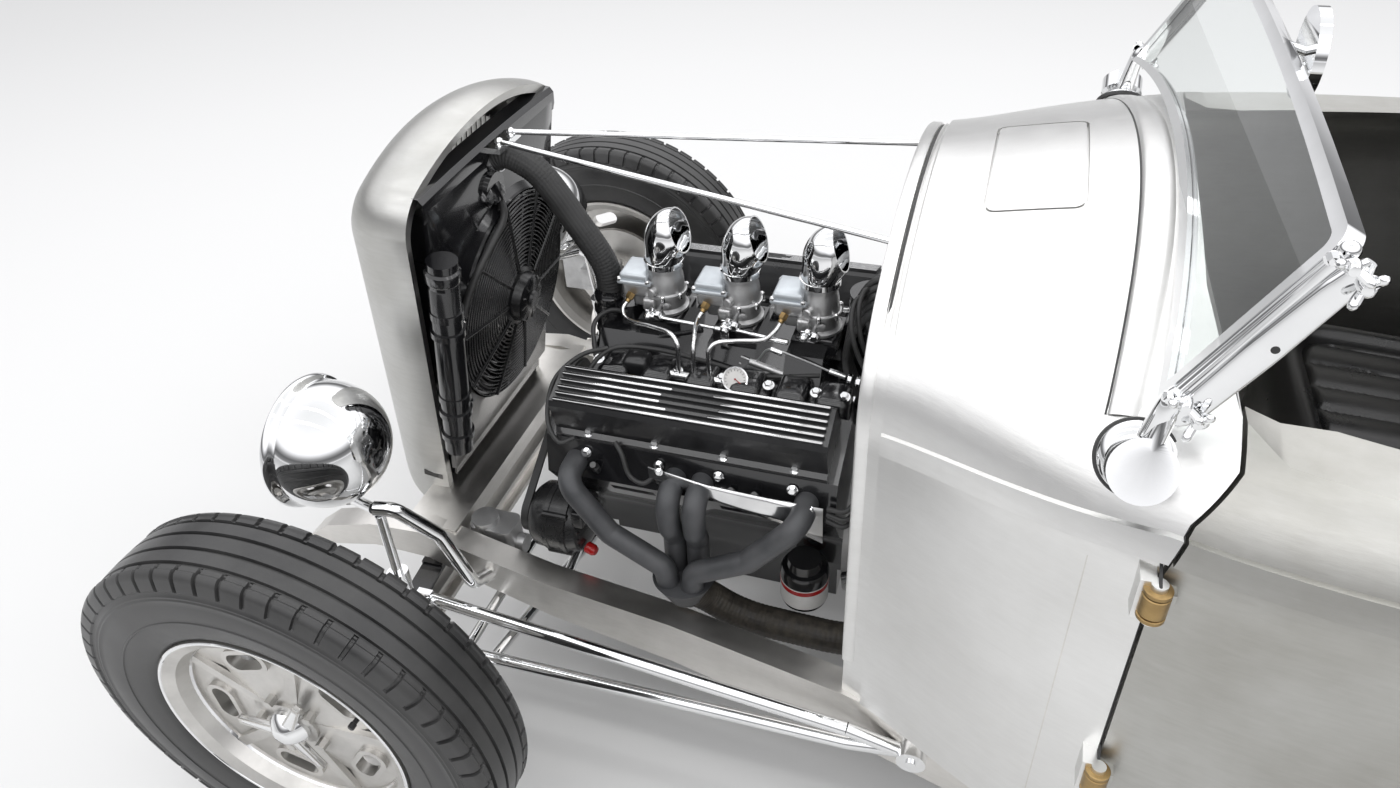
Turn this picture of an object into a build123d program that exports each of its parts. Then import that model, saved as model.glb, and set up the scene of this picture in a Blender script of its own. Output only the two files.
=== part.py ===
from build123d import *
import math
import os

# Street rod roadster, millimetres. The car faces -Y, its left side is +X and the floor is Z = 0.
# Distances along the car are measured rearward from the front axle and turned into Y by behind().

# Wheelbase, tracks and overhang
WHEELBASE = 2692
REAR_OVERHANG = 600
FRONT_TRACK = 1422
REAR_TRACK = 1510

# Tyres and rims
FRONT_TYRE_R = 365
FRONT_TYRE_WIDTH = 150
REAR_TYRE_R = 395
REAR_TYRE_WIDTH = 205
RIM_R = 222
RIM_BEAD_R = 205
HUB_R = 46
SPOKE_COUNT = 5
SPOKE_DISC = 14
DISC_R = 130

# Front axle and steering
KINGPIN_INSET = 112
KINGPIN_R = 10
PIN_GAP = 0.5
AXLE_DROP = 130
BEAM_DEPTH = 58
BEAM_WIDTH = 52
STEER_ARM = 140
TIE_ROD_Z = 256
DRAG_LINK_Z = 214
ROD_R = 11
HAIRPIN_R = 12
HAIRPIN_X = 445
HAIRPIN_FRONT_X = 430
HAIRPIN_PIVOT = 945
HAIRPIN_PIVOT_Z = 236

# Frame rails
RAIL_WIDTH = 50

# Body shell
COWL_FRONT = 817
COWL_LEDGE = 34
LEDGE_STEP = 8
DOOR_FRONT = 1180
DOOR_REAR = 1850
DOOR_BOTTOM = 330
DOOR_TOP = 1010
DOOR_GAP = 5
WALL = 35
BEAD_HEIGHT = 30
BEAD_PROUD = 7
FIREWALL = 6
FLOOR = 14
FLOOR_Z = 300
TRUNK_Z = 508
LID_FRONT = 2260
LID_REAR = 3060
LID_HALF_WIDTH = 340
ARCH_R = 425
ARCH_DEPTH = 62
ARCH_SKIN = 12
DOOR_SWING = 65
LID_SWING = 50

# Windscreen
SCREEN_BASE = 1150
SCREEN_BASE_Z = 1066
SCREEN_TOP_Z = 1285
SCREEN_LEAN = 29
SCREEN_HALF_WIDTH = 516
GLASS = 6

# Engine
CRANK_Z = 380
ENGINE_FRONT = 262
BLOCK_LENGTH = 510
COVER_LENGTH = 474
COVER_WIDTH = 116
COVER_HEIGHT = 84
COVER_X = 213
COVER_RISE = 274
COVER_TILT = 22
CARB_FIRST = 398
CARB_SPACING = 141
CARB_BASE_Z = 742

# Radiator and its shell
SHELL_TOP = 1105
SHELL_BOTTOM = 318
SHELL_LEAN = 8.7
SHELL_DEPTH = 125
SHELL_HALF_WIDTH = 280
SHELL_BOTTOM_HALF = 202
SHELL_SKIN = 14

# Lamps
LAMP_R = 108
LAMP_X = 425
LAMP_Y = -58
LAMP_Z = 668

FRONT_AXLE_Y = FRONT_TYRE_R - (FRONT_TYRE_R + WHEELBASE + REAR_OVERHANG) / 2
FRONT_WHEEL_X = FRONT_TRACK / 2
REAR_WHEEL_X = REAR_TRACK / 2
KINGPIN_X = FRONT_WHEEL_X - KINGPIN_INSET
SIDES = (("left", 1), ("right", -1))
parts = {}


def behind(distance):
    """Y of a place that lies this far behind the front axle."""
    return FRONT_AXLE_Y + distance


def at(x, distance, z):
    return Vector(x, behind(distance), z)


def rod(start, end, radius):
    """Round bar between two points."""
    start, end = Vector(*start), Vector(*end)
    line = end - start
    return Plane(origin=start, z_dir=line.normalized()) * extrude(Circle(radius), line.length)


def tube(points, radius, bends):
    """Round bar along straight runs joined by arcs."""
    path = FilletPolyline(*points, radius=bends)
    start = Plane(origin=path @ 0, z_dir=path % 0)
    return sweep(start * Circle(radius), path=path)


def block(x0, x1, y0, y1, z0, z1):
    """Box between two corners."""
    size = (abs(x1 - x0), abs(y1 - y0), abs(z1 - z0))
    return Pos((x0 + x1) / 2, (y0 + y1) / 2, (z0 + z1) / 2) * Box(*size)


def across(radius, width, x, distance, z):
    """Round bar that lies along X, centred on x."""
    return Pos(x, behind(distance), z) * Rot(0, 90, 0) * Cylinder(radius, width)


def side_profile(points, half_width):
    """Outline given as (distance, z), carried across the car."""
    outline = make_face(Polyline([(behind(d), z) for d, z in points], close=True))
    return Plane.YZ * extrude(outline, half_width, both=True)


def mirrored(shape):
    return mirror(shape, about=Plane.YZ)


def joined(shapes):
    """One shape from several; they may stay apart."""
    total = shapes[0]
    for shape in shapes[1:]:
        total = total + shape
    return total


def largest(shape):
    """The main solid of a shape, without slivers left where surfaces graze."""
    return max(shape.solids(), key=lambda solid: solid.volume)


def save(name, shape):
    parts[name] = shape
    export_step(Compound(list(shape.solids()), label=name), f"parts/{name}.step")


os.makedirs("parts", exist_ok=True)

# Body sections, front to rear. Columns: distance behind the front axle, half width, half width
# at the sill, top of the crown, crown radius, shoulder radius, bottom edge.
SECTIONS = (
    (COWL_FRONT, 412, 408, 1074, 800, 190, 300),
    (1000, 508, 502, 1098, 1000, 185, 300),
    (DOOR_FRONT, 588, 580, 1120, 1200, 180, 300),
    (1480, 642, 628, 1135, 1400, 180, 300),
    (1900, 650, 634, 1132, 1500, 190, 305),
    (2300, 632, 616, 1080, 1300, 190, 350),
    (WHEELBASE, 602, 588, 1005, 1100, 200, 470),
    (3050, 548, 534, 885, 1000, 190, 480),
    (WHEELBASE + REAR_OVERHANG, 480, 470, 660, 900, 110, 490),
)


def section(row, inset):
    """Cross-section of the body, drawn in from the skin by inset; a room runs out below."""
    distance, half, sill, top, crown, shoulder, bottom = row
    half, sill, top = half - inset, sill - inset, top - inset
    crown, shoulder = crown - inset, shoulder - inset
    crown_z = top - crown
    shoulder_x = half - shoulder
    shoulder_z = crown_z + math.sqrt((crown - shoulder) ** 2 - shoulder_x ** 2)
    share = crown / (crown - shoulder)
    meet_x = shoulder_x * share
    meet_z = crown_z + (shoulder_z - crown_z) * share
    turn = math.atan2(meet_z - shoulder_z, meet_x - shoulder_x) / 2
    mid_x = shoulder_x + shoulder * math.cos(turn)
    mid_z = shoulder_z + shoulder * math.sin(turn)
    low = bottom - (12 if inset > 0 else 0)
    edges = [
        Line((-sill, low), (-half, shoulder_z)),
        ThreePointArc((-half, shoulder_z), (-mid_x, mid_z), (-meet_x, meet_z)),
        ThreePointArc((-meet_x, meet_z), (0, top), (meet_x, meet_z)),
        ThreePointArc((meet_x, meet_z), (mid_x, mid_z), (half, shoulder_z)),
        Line((half, shoulder_z), (sill, low)),
        Line((sill, low), (-sill, low)),
    ]
    plane = Plane(origin=(0, behind(distance), 0), x_dir=(1, 0, 0), z_dir=(0, -1, 0))
    return plane * make_face(edges)


def hull(inset):
    return loft([section(row, inset) for row in SECTIONS])


skin = hull(0)
room = hull(WALL)

# Belt bead: the skin grown outward, kept only along the belt line. Columns: distance, height.
BEAD_LINE = (
    (COWL_FRONT + COWL_LEDGE, 869),
    (1027, 898),
    (DOOR_FRONT, 922),
    (1500, 926),
    (2100, 930),
    (2500, 905),
    (2900, 820),
    (WHEELBASE + REAR_OVERHANG, 610),
)
bead_low = [(d, z - BEAD_HEIGHT / 2) for d, z in BEAD_LINE]
bead_high = [(d, z + BEAD_HEIGHT / 2) for d, z in reversed(BEAD_LINE)]
bead = hull(-BEAD_PROUD) & side_profile(bead_low + bead_high, 900)

# Cockpit opening, drawn from the side
cockpit = side_profile(
    (
        (SCREEN_BASE + 40, 1250),
        (SCREEN_BASE + 55, 1085),
        (SCREEN_BASE + 85, 1032),
        (DOOR_FRONT + 100, DOOR_TOP + 4),
        (DOOR_REAR + 60, DOOR_TOP - 4),
        (LID_FRONT - 130, DOOR_TOP),
        (LID_FRONT - 75, DOOR_TOP + 40),
        (LID_FRONT - 60, 1250),
    ),
    900,
)

# The tail is closed, the front stepped in where a hood would close on it
TAIL = WHEELBASE + REAR_OVERHANG
hollow = room & block(-900, 900, behind(COWL_FRONT) - 5, behind(TAIL - WALL), 0, 1300)
front_band = block(-900, 900, behind(COWL_FRONT) - 5, behind(COWL_FRONT + COWL_LEDGE), 0, 1300)
stepped = hull(LEDGE_STEP)
ledge = (front_band & skin) - stepped
shell = skin + bead - ledge - hollow - cockpit

# Wheel arches: a recess in each side with its own inner skin
for name, side in SIDES:
    inner_x = 602 - ARCH_DEPTH
    depth = 200
    well = across(ARCH_R + ARCH_SKIN, depth, side * (inner_x - ARCH_SKIN + depth / 2),
                  WHEELBASE, REAR_TYRE_R)
    recess = across(ARCH_R, depth, side * (inner_x + depth / 2), WHEELBASE, REAR_TYRE_R)
    shell = shell + (well & skin) - recess

# Firewall with its opening for the bell housing
BELL_R = 196
BELL_GAP = 16
firewall = room & block(-900, 900, behind(COWL_FRONT + 8), behind(COWL_FRONT + 8 + FIREWALL),
                        FLOOR_Z, 1300)
bell_hole = Pos(0, behind(COWL_FRONT), CRANK_Z) * Rot(90, 0, 0) * Cylinder(BELL_R + BELL_GAP, 80)
bell_slot = block(-BELL_R - BELL_GAP, BELL_R + BELL_GAP, behind(COWL_FRONT) - 40,
                  behind(COWL_FRONT) + 40, FLOOR_Z - 60, CRANK_Z)
firewall = firewall - bell_hole - bell_slot


def door_outline(grow):
    """Side outline of a door; grow widens it by the gap round the door."""
    front, rear = DOOR_FRONT - grow, DOOR_REAR + grow
    low, high = DOOR_BOTTOM - grow, DOOR_TOP + 190
    corner = 55
    points = (
        (front, low),
        (front, 880),
        (front + 22, 950),
        (front + 60, DOOR_TOP - 8),
        (front + 70, high),
        (rear, high),
        (rear, low + corner),
        (rear - corner, low),
    )
    return make_face(Polyline([(behind(d), z) for d, z in points], close=True))


def door_volume(side, grow):
    return Pos(side * 650, 0, 0) * (Plane.YZ * extrude(door_outline(grow), 200, both=True))


def fore_and_aft(shape):
    """The shell ahead of the doors' front gap, and the rest of it."""
    cut = side_profile(
        (
            (DOOR_FRONT - DOOR_GAP, -50),
            (DOOR_FRONT - DOOR_GAP, 880),
            (DOOR_FRONT - DOOR_GAP + 22, 950),
            (DOOR_FRONT - DOOR_GAP + 60, DOOR_TOP - 8),
            (DOOR_FRONT - DOOR_GAP + 70, DOOR_TOP + 190),
            (DOOR_FRONT - DOOR_GAP + 70, 1300),
            (TAIL + 100, 1300),
            (TAIL + 100, -50),
        ),
        1000,
    )
    return shape - cut, shape & cut


doors = {name: shell & door_volume(side, 0) for name, side in SIDES}
frame_of_doors = shell
for name, side in SIDES:
    frame_of_doors = frame_of_doors - door_volume(side, DOOR_GAP)
cowl, tub = fore_and_aft(frame_of_doors)
cowl = cowl + firewall

# Deck lid and the opening it leaves
lid_plan = Rectangle(2 * LID_HALF_WIDTH, LID_REAR - LID_FRONT)
lid_middle = behind((LID_FRONT + LID_REAR) / 2)
lid_volume = Pos(0, lid_middle, 650) * extrude(fillet(lid_plan.vertices(), 60), 600)
hole_plan = Rectangle(2 * LID_HALF_WIDTH + 2 * DOOR_GAP, LID_REAR - LID_FRONT + 2 * DOOR_GAP)
lid_hole = Pos(0, lid_middle, 650) * extrude(fillet(hole_plan.vertices(), 60 + DOOR_GAP), 600)
deck_lid = tub & lid_volume
tub = tub - lid_hole

# Deck lid hinges: an eye on the body beside an eye on the lid, both round the lid's front edge
LID_AXIS_Z = 1087
LID_EYE_R = 7
LID_EYE = 28
LID_LEAF = 20
for middle in (-90, 90):
    body_x, lid_x = middle - LID_EYE / 2 - 1, middle + LID_EYE / 2 + 1
    deck_lid = deck_lid - across(LID_EYE_R + 1, LID_EYE + 2, body_x, LID_FRONT, LID_AXIS_Z)
    tub = tub - across(LID_EYE_R + 1, LID_EYE + 2, lid_x, LID_FRONT, LID_AXIS_Z)
    ends = (body_x - LID_EYE / 2, body_x + LID_EYE / 2)
    body_leaf = block(*ends, behind(LID_FRONT - LID_LEAF), behind(LID_FRONT), LID_AXIS_Z - 9, LID_AXIS_Z)
    tub = tub + body_leaf + across(LID_EYE_R, LID_EYE, body_x, LID_FRONT, LID_AXIS_Z)
    ends = (lid_x - LID_EYE / 2, lid_x + LID_EYE / 2)
    lid_leaf = block(*ends, behind(LID_FRONT), behind(LID_FRONT + LID_LEAF), LID_AXIS_Z - 9, LID_AXIS_Z)
    deck_lid = deck_lid + lid_leaf + across(LID_EYE_R, LID_EYE, lid_x, LID_FRONT, LID_AXIS_Z)

# Frame rails: a side outline kept inside a strip drawn from above.
# Columns: distance, top of the rail, depth, outer face.
RAIL_STATIONS = (
    (-282, 300, 34, 335),
    (-230, 342, 50, 336),
    (-120, 377, 56, 338),
    (0, 388, 66, 341),
    (110, 362, 78, 345),
    (250, 332, 88, 350),
    (500, 318, 100, 368),
    (COWL_FRONT, 300, 118, 410),
    (1180, 300, 130, 500),
    (1600, 300, 132, 548),
    (2080, 300, 125, 560),
    (2330, 400, 100, 540),
    (WHEELBASE, TRUNK_Z, 66, 505),
    (3000, TRUNK_Z, 62, 490),
    (3230, TRUNK_Z - 10, 46, 480),
)


def rail(side):
    top = [(d, z) for d, z, depth, x in RAIL_STATIONS]
    low = [(d, z - depth) for d, z, depth, x in reversed(RAIL_STATIONS)]
    outer = [(side * x, behind(d)) for d, z, depth, x in RAIL_STATIONS]
    inner = [(side * (x - RAIL_WIDTH), behind(d)) for d, z, depth, x in reversed(RAIL_STATIONS)]
    strip = extrude(make_face(Polyline(outer + inner, close=True)), 900)
    return side_profile(top + low, 700) & strip


rails = {name: rail(side) for name, side in SIDES}
both_rails = joined(list(rails.values()))
for name, side in SIDES:
    save(f"rail_{name}", rails[name])


def rail_x(distance):
    """Outer face of a rail at a distance, between the stations."""
    rows = RAIL_STATIONS
    for near, far in zip(rows, rows[1:]):
        if near[0] <= distance <= far[0]:
            share = (distance - near[0]) / (far[0] - near[0])
            return near[3] + share * (far[3] - near[3])


def member(distance, length, z_low, z_high):
    """Crossmember that ends on the inner faces of both rails."""
    bar = block(-700, 700, behind(distance), behind(distance + length), z_low, z_high)
    reach = min(rail_x(distance), rail_x(distance + length)) - RAIL_WIDTH / 2
    bar = bar & block(-reach, reach, behind(-400), behind(TAIL), 0, 900)
    return bar - both_rails


# Exhaust pipe of the left side, from the collector to the tail, as (x, distance, z)
MERGE_X = 314
MERGE = 515
PIPE_R = 27
PIPE_RUN = (
    (MERGE_X, MERGE, 384), (MERGE_X, MERGE, 350), (288, 519, 332), (262, 530, 296), (250, 600, 240),
    (250, 760, 236), (226, 980, 226), (226, 2380, 214),
)
PIPE_BENDS = [28, 40, 60, 150, 150, 150]
PIPE_HOLE_R = PIPE_R + 6

# Crossmembers; the two in the middle have a hole for each exhaust pipe
SPRING_TOP = 345
front_member = member(-55, 110, SPRING_TOP, 382)
JACK_FACE_Z = 178
centre_member = member(1390, 70, JACK_FACE_Z, 280)
middle_member = member(1900, 60, JACK_FACE_Z, 276)
rear_member = member(2500, 60, 442, 497)
tail_member = member(3090, 60, TRUNK_Z - 60, TRUNK_Z - 2)
members = joined([front_member, centre_member, middle_member, rear_member, tail_member])
for name, side in SIDES:
    ends = [at(side * x, distance, z) for x, distance, z in PIPE_RUN[-2:]]
    members = members - rod(*ends, PIPE_HOLE_R)
save("crossmembers", members)

# Floor: one band that steps up over the rear axle, with the tunnel for the gearbox
floor_band = side_profile(
    (
        (COWL_FRONT + 8 + FIREWALL, FLOOR_Z),
        (2080, FLOOR_Z),
        (2330, TRUNK_Z),
        (TAIL - WALL, TRUNK_Z),
        (TAIL - WALL, TRUNK_Z + FLOOR),
        (2322, TRUNK_Z + FLOOR),
        (2074, FLOOR_Z + FLOOR),
        (COWL_FRONT + 8 + FIREWALL, FLOOR_Z + FLOOR),
    ),
    800,
)
TUNNEL_FRONT_R = BELL_R + BELL_GAP
TUNNEL_REAR_R = 105
TUNNEL_SKIN = 8


def tunnel(grow):
    """Tunnel over the gearbox and shaft: a taper, then a long slim run to the step."""
    front = COWL_FRONT + 8 + FIREWALL
    wide = Pos(0, behind(front), CRANK_Z) * Rot(90, 0, 0) * Circle(TUNNEL_FRONT_R + grow)
    slim = Pos(0, behind(1500), CRANK_Z - 20) * Rot(90, 0, 0) * Circle(TUNNEL_REAR_R + grow)
    end = Pos(0, behind(2345), CRANK_Z - 5) * Rot(90, 0, 0) * Circle(TUNNEL_REAR_R + grow)
    return loft([wide, slim]) + loft([slim, end])


tunnel_room = tunnel(0)
above_floor = side_profile(
    (
        (COWL_FRONT + 8 + FIREWALL, FLOOR_Z),
        (2080, FLOOR_Z),
        (2330, TRUNK_Z),
        (2340, 1200),
        (COWL_FRONT + 8 + FIREWALL, 1200),
    ),
    800,
)
tunnel_shell = (tunnel(TUNNEL_SKIN) - tunnel_room) & above_floor
floor = (floor_band & room) - tunnel_room + tunnel_shell
floor = floor - both_rails - cowl
save("floor", floor)
cowl = cowl - both_rails
tub = tub - both_rails - floor

# Door hinges: a leaf and two eyes on the cowl, one eye and a leaf on the door
HINGE_R = 9
HINGE_PIN_R = 5
HINGE_HEIGHTS = (524, 866)
HINGE_EYE = 15
HINGE_LEAF = 20
HINGE_OUT = 606
hinge_y = behind(DOOR_FRONT - DOOR_GAP / 2)


def upright(radius, x, y, z0, z1):
    return Pos(x, y, (z0 + z1) / 2) * Cylinder(radius, z1 - z0)


fixed_halves = []
for name, side in SIDES:
    x = side * HINGE_OUT
    skin_x = side * (HINGE_OUT - 40)
    leaves = []
    for z in HINGE_HEIGHTS:
        low, high = z - HINGE_EYE, z + HINGE_EYE
        bottom, top = low - HINGE_EYE, high + HINGE_EYE
        clear = block(skin_x - side * 5, x + side * 12, hinge_y - HINGE_R - 3, hinge_y + 60,
                      low - 1, high + 1)
        eyes = upright(HINGE_R, x, hinge_y, bottom, low - 1)
        eyes = eyes + upright(HINGE_R, x, hinge_y, high + 1, top)
        arm = block(x - side * 8, x, hinge_y - HINGE_LEAF, hinge_y, bottom, top)
        pin = upright(HINGE_PIN_R, x, hinge_y, bottom, top)
        leaf = block(skin_x, x, hinge_y - HINGE_LEAF, hinge_y - DOOR_GAP / 2, bottom, top)
        leaf = leaf - upright(HINGE_R + 1, x, hinge_y, low - 1, high + 1)
        fixed_halves.append(leaf + ((arm + eyes) - clear) + pin)
        door_arm = block(skin_x, x, hinge_y + DOOR_GAP / 2, hinge_y + HINGE_LEAF, low, high)
        bridge = block(x - side * 8, x, hinge_y, hinge_y + HINGE_LEAF, low, high)
        leaves.append(door_arm + bridge + upright(HINGE_R, x, hinge_y, low, high))
        doors[name] = doors[name] - upright(HINGE_R + 1, x, hinge_y, bottom - 1, top + 1)
        cowl = cowl - upright(HINGE_R + 1, x, hinge_y, low - 1, high + 1)
    bore = upright(HINGE_PIN_R + PIN_GAP, x, hinge_y, 0, 1200)
    doors[name] = doors[name] + (joined(leaves) - room - bore)
cowl = cowl + (joined(fixed_halves) - room)

# Front axle: a dropped I-beam with an eye at each end and a perch for the spring
BEAM_Z = FRONT_TYRE_R - AXLE_DROP
PERCH_X = 452
EYE_R = 24
EYE_HALF = 30
KINGPIN_REACH = 58


def beam_outline(depth, end_x):
    """Front view of the beam: straight in the middle, swept up to the kingpins."""
    half = depth / 2
    rise = FRONT_TYRE_R
    upper = [(-end_x, rise + half), (-480, BEAM_Z + half), (480, BEAM_Z + half), (end_x, rise + half)]
    lower = [(end_x, rise - half), (490, BEAM_Z - half), (-490, BEAM_Z - half), (-end_x, rise - half)]
    face = make_face(Polyline(upper + lower, close=True))
    bends = [v for v in face.vertices() if abs(abs(v.X) - 485) < 20]
    return fillet(bends, 60)


def front_plane(distance):
    return Plane(origin=(0, behind(distance), 0), x_dir=(1, 0, 0), z_dir=(0, -1, 0))


beam = front_plane(0) * extrude(beam_outline(BEAM_DEPTH, KINGPIN_X), BEAM_WIDTH / 2, both=True)
web_cut = beam_outline(BEAM_DEPTH - 22, KINGPIN_X - 60)
for sign in (1, -1):
    pocket = extrude(web_cut, 16)
    beam = beam - front_plane(sign * (BEAM_WIDTH / 2 - 8) + 8) * pocket
for name, side in SIDES:
    x = side * KINGPIN_X
    beam = beam - upright(EYE_R + 12, x, behind(0), 0, 900)
    eye = upright(EYE_R, x, behind(0), FRONT_TYRE_R - EYE_HALF, FRONT_TYRE_R + EYE_HALF)
    neck = block(x, x - side * 45, behind(-18), behind(18), FRONT_TYRE_R - 24, FRONT_TYRE_R + 24)
    beam = beam + eye + neck
    beam = beam - upright(KINGPIN_R + PIN_GAP, x, behind(0), 0, 900)
    perch = upright(22, side * PERCH_X, behind(0), BEAM_Z + BEAM_DEPTH / 2, BEAM_Z + 50)
    beam = beam + perch
save("front_axle", beam)

# Transverse front spring: leaves of one curve, each shorter than the one below it.
# Columns: half length, number from the bottom.
LEAF = 7
LEAF_WIDTH = 44
SPRING_SAG = 30
SPRING_HALF = 412
SPRING_LEAVES = ((SPRING_HALF, 0), (340, 1), (268, 2), (196, 3), (124, 4))
spring_low = SPRING_TOP - LEAF * len(SPRING_LEAVES)
spring_r = (SPRING_HALF ** 2 + SPRING_SAG ** 2) / (2 * SPRING_SAG)
leaves = []
for half, number in SPRING_LEAVES:
    z = spring_low + LEAF * number
    drop = spring_r - math.sqrt(spring_r ** 2 - half ** 2)
    lower = ThreePointArc((-half, z - drop), (0, z), (half, z - drop))
    upper = ThreePointArc((half, z - drop + LEAF), (0, z + LEAF), (-half, z - drop + LEAF))
    ends = [Line(lower @ 1, upper @ 0), Line(upper @ 1, lower @ 0)]
    leaf_face = make_face([lower, upper] + ends)
    leaves.append(front_plane(0) * extrude(leaf_face, LEAF_WIDTH / 2, both=True))
spring = joined(leaves)
end_z = spring_low - SPRING_SAG + 4
for name, side in SIDES:
    spring = spring + Pos(side * 418, behind(0), end_z) * Rot(90, 0, 0) * Cylinder(11, 2 * 31)
    for face in (1, -1):
        near, far = behind(0) + face * BEAM_WIDTH / 2, behind(0) + face * 31
        spring = spring + block(side * 404, side * 422, near, far, end_z - 34, end_z + 12)
spring = spring - beam
save("front_spring", spring)

# Knuckles: a yoke round each eye of the axle, stub axle, steering arm and brake caliper
STUB_R = 17
ARM_EYE_Z = (TIE_ROD_Z + DRAG_LINK_Z) / 2
ARM_EYE_HALF = 6
ARM_R = 11
BALL_R = 13
BALL_GAP = 0.5
CALIPER_HALF = 55
CALIPER_OUTER = 155
DISC_X = FRONT_WHEEL_X - 33
DISC_HALF = 5
knuckles = {}
for name, side in SIDES:
    x, y, z = side * KINGPIN_X, behind(0), FRONT_TYRE_R
    top, low = z + EYE_HALF + 1, z - EYE_HALF - 1
    knuckle = upright(EYE_R, x, y, top, z + KINGPIN_REACH)
    knuckle = knuckle + upright(EYE_R, x, y, z - KINGPIN_REACH, low)
    knuckle = knuckle + upright(KINGPIN_R, x, y, z - KINGPIN_REACH - 4, z + KINGPIN_REACH + 4)
    plate_x = x + side * (EYE_R + 5)
    knuckle = knuckle + block(plate_x, plate_x + side * 16, y - 24, y + 24,
                              z - KINGPIN_REACH, z + KINGPIN_REACH)
    for z0, z1 in ((top, z + KINGPIN_REACH), (z - KINGPIN_REACH, low)):
        knuckle = knuckle + block(x, plate_x + side, y - 20, y + 20, z0, z1)
    knuckle = knuckle + rod((plate_x, y, z), (side * (FRONT_WHEEL_X + 30), y, z), STUB_R)
    eye_y = y + STEER_ARM
    elbow = (x + side * 10, y + 75, ARM_EYE_Z + 10)
    knuckle = knuckle + rod((x, y, low - 12), elbow, ARM_R) + Pos(*elbow) * Sphere(ARM_R + 1)
    knuckle = knuckle + rod(elbow, (x, eye_y - 8, ARM_EYE_Z), ARM_EYE_HALF - 1)
    knuckle = knuckle + upright(15, x, eye_y, ARM_EYE_Z - ARM_EYE_HALF, ARM_EYE_Z + ARM_EYE_HALF)
    inner_x, outer_x = side * (DISC_X - 23), side * (DISC_X + 23)
    caliper = block(inner_x, outer_x, y - CALIPER_OUTER, y - 72, z - CALIPER_HALF, z + CALIPER_HALF)
    caliper = caliper - across(DISC_R + 7, 2 * DISC_HALF + 12, side * DISC_X, 0, z)
    bracket = block(plate_x, plate_x + side * 16, y - 92, y - 14, z - 26, z + 26)
    bracket = bracket + block(plate_x, inner_x + side * 2, y - 92, y - 54, z - 26, z + 26)
    knuckles[name] = knuckle + caliper + bracket
    save(f"knuckle_{name}", knuckles[name])

# Tie rod between the arms, drag link to the right arm, pitman arm and steering box
eye_y = behind(STEER_ARM)
left_end, right_end = (KINGPIN_X, eye_y, TIE_ROD_Z), (-KINGPIN_X, eye_y, TIE_ROD_Z)
tie_rod = rod(left_end, right_end, ROD_R - 1)
for end in (left_end, right_end):
    tie_rod = tie_rod + Pos(*end) * Sphere(BALL_R)
    tie_rod = tie_rod + upright(7, end[0], eye_y, ARM_EYE_Z + ARM_EYE_HALF + BALL_GAP, TIE_ROD_Z)
save("tie_rod", tie_rod)

BOX_X = 262
BOX_PIVOT = 90
PITMAN_Z = DRAG_LINK_Z + 16
PITMAN_THICK = 10
BOX_BOTTOM = PITMAN_Z + PITMAN_THICK + 36
pitman_end = (BOX_X, behind(BOX_PIVOT + STEER_ARM), DRAG_LINK_Z)
link_end = (-KINGPIN_X, eye_y, DRAG_LINK_Z)
drag_link = rod(pitman_end, link_end, ROD_R - 1)
drag_link = drag_link + Pos(*pitman_end) * Sphere(BALL_R) + Pos(*link_end) * Sphere(BALL_R)
drag_link = drag_link + upright(7, BOX_X, pitman_end[1], DRAG_LINK_Z, PITMAN_Z - BALL_GAP)
drag_link = drag_link + upright(7, -KINGPIN_X, eye_y, DRAG_LINK_Z, ARM_EYE_Z - ARM_EYE_HALF - BALL_GAP)
save("drag_link", drag_link)

arm_plan = make_hull([
    *(Pos(BOX_X, behind(BOX_PIVOT)) * Circle(20)).edges(),
    *(Pos(BOX_X, behind(BOX_PIVOT + STEER_ARM)) * Circle(14)).edges(),
])
pitman = Pos(0, 0, PITMAN_Z) * extrude(arm_plan, PITMAN_THICK)
pitman = pitman + upright(13, BOX_X, behind(BOX_PIVOT), PITMAN_Z, BOX_BOTTOM - BALL_GAP)
save("pitman_arm", pitman)

gear_box = block(BOX_X - 34, BOX_X + 24, behind(BOX_PIVOT - 28), behind(BOX_PIVOT + 62),
                 BOX_BOTTOM, BOX_BOTTOM + 92)
gear_box = fillet(gear_box.edges().filter_by(Axis.Z), 14)
gear_box = gear_box + upright(26, BOX_X, behind(BOX_PIVOT), BOX_BOTTOM, BOX_BOTTOM + 104)
worm_z = BOX_BOTTOM + 46
gear_box = gear_box + rod((BOX_X - 5, behind(BOX_PIVOT + 50), worm_z),
                          (BOX_X - 5, behind(BOX_PIVOT + 78), worm_z), 19)
box_mount = block(BOX_X + 10, 330, behind(BOX_PIVOT - 18), behind(BOX_PIVOT + 52),
                  BOX_BOTTOM + 8, BOX_BOTTOM + 34)
save("steering_gear", gear_box + (box_mount - both_rails))

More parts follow.
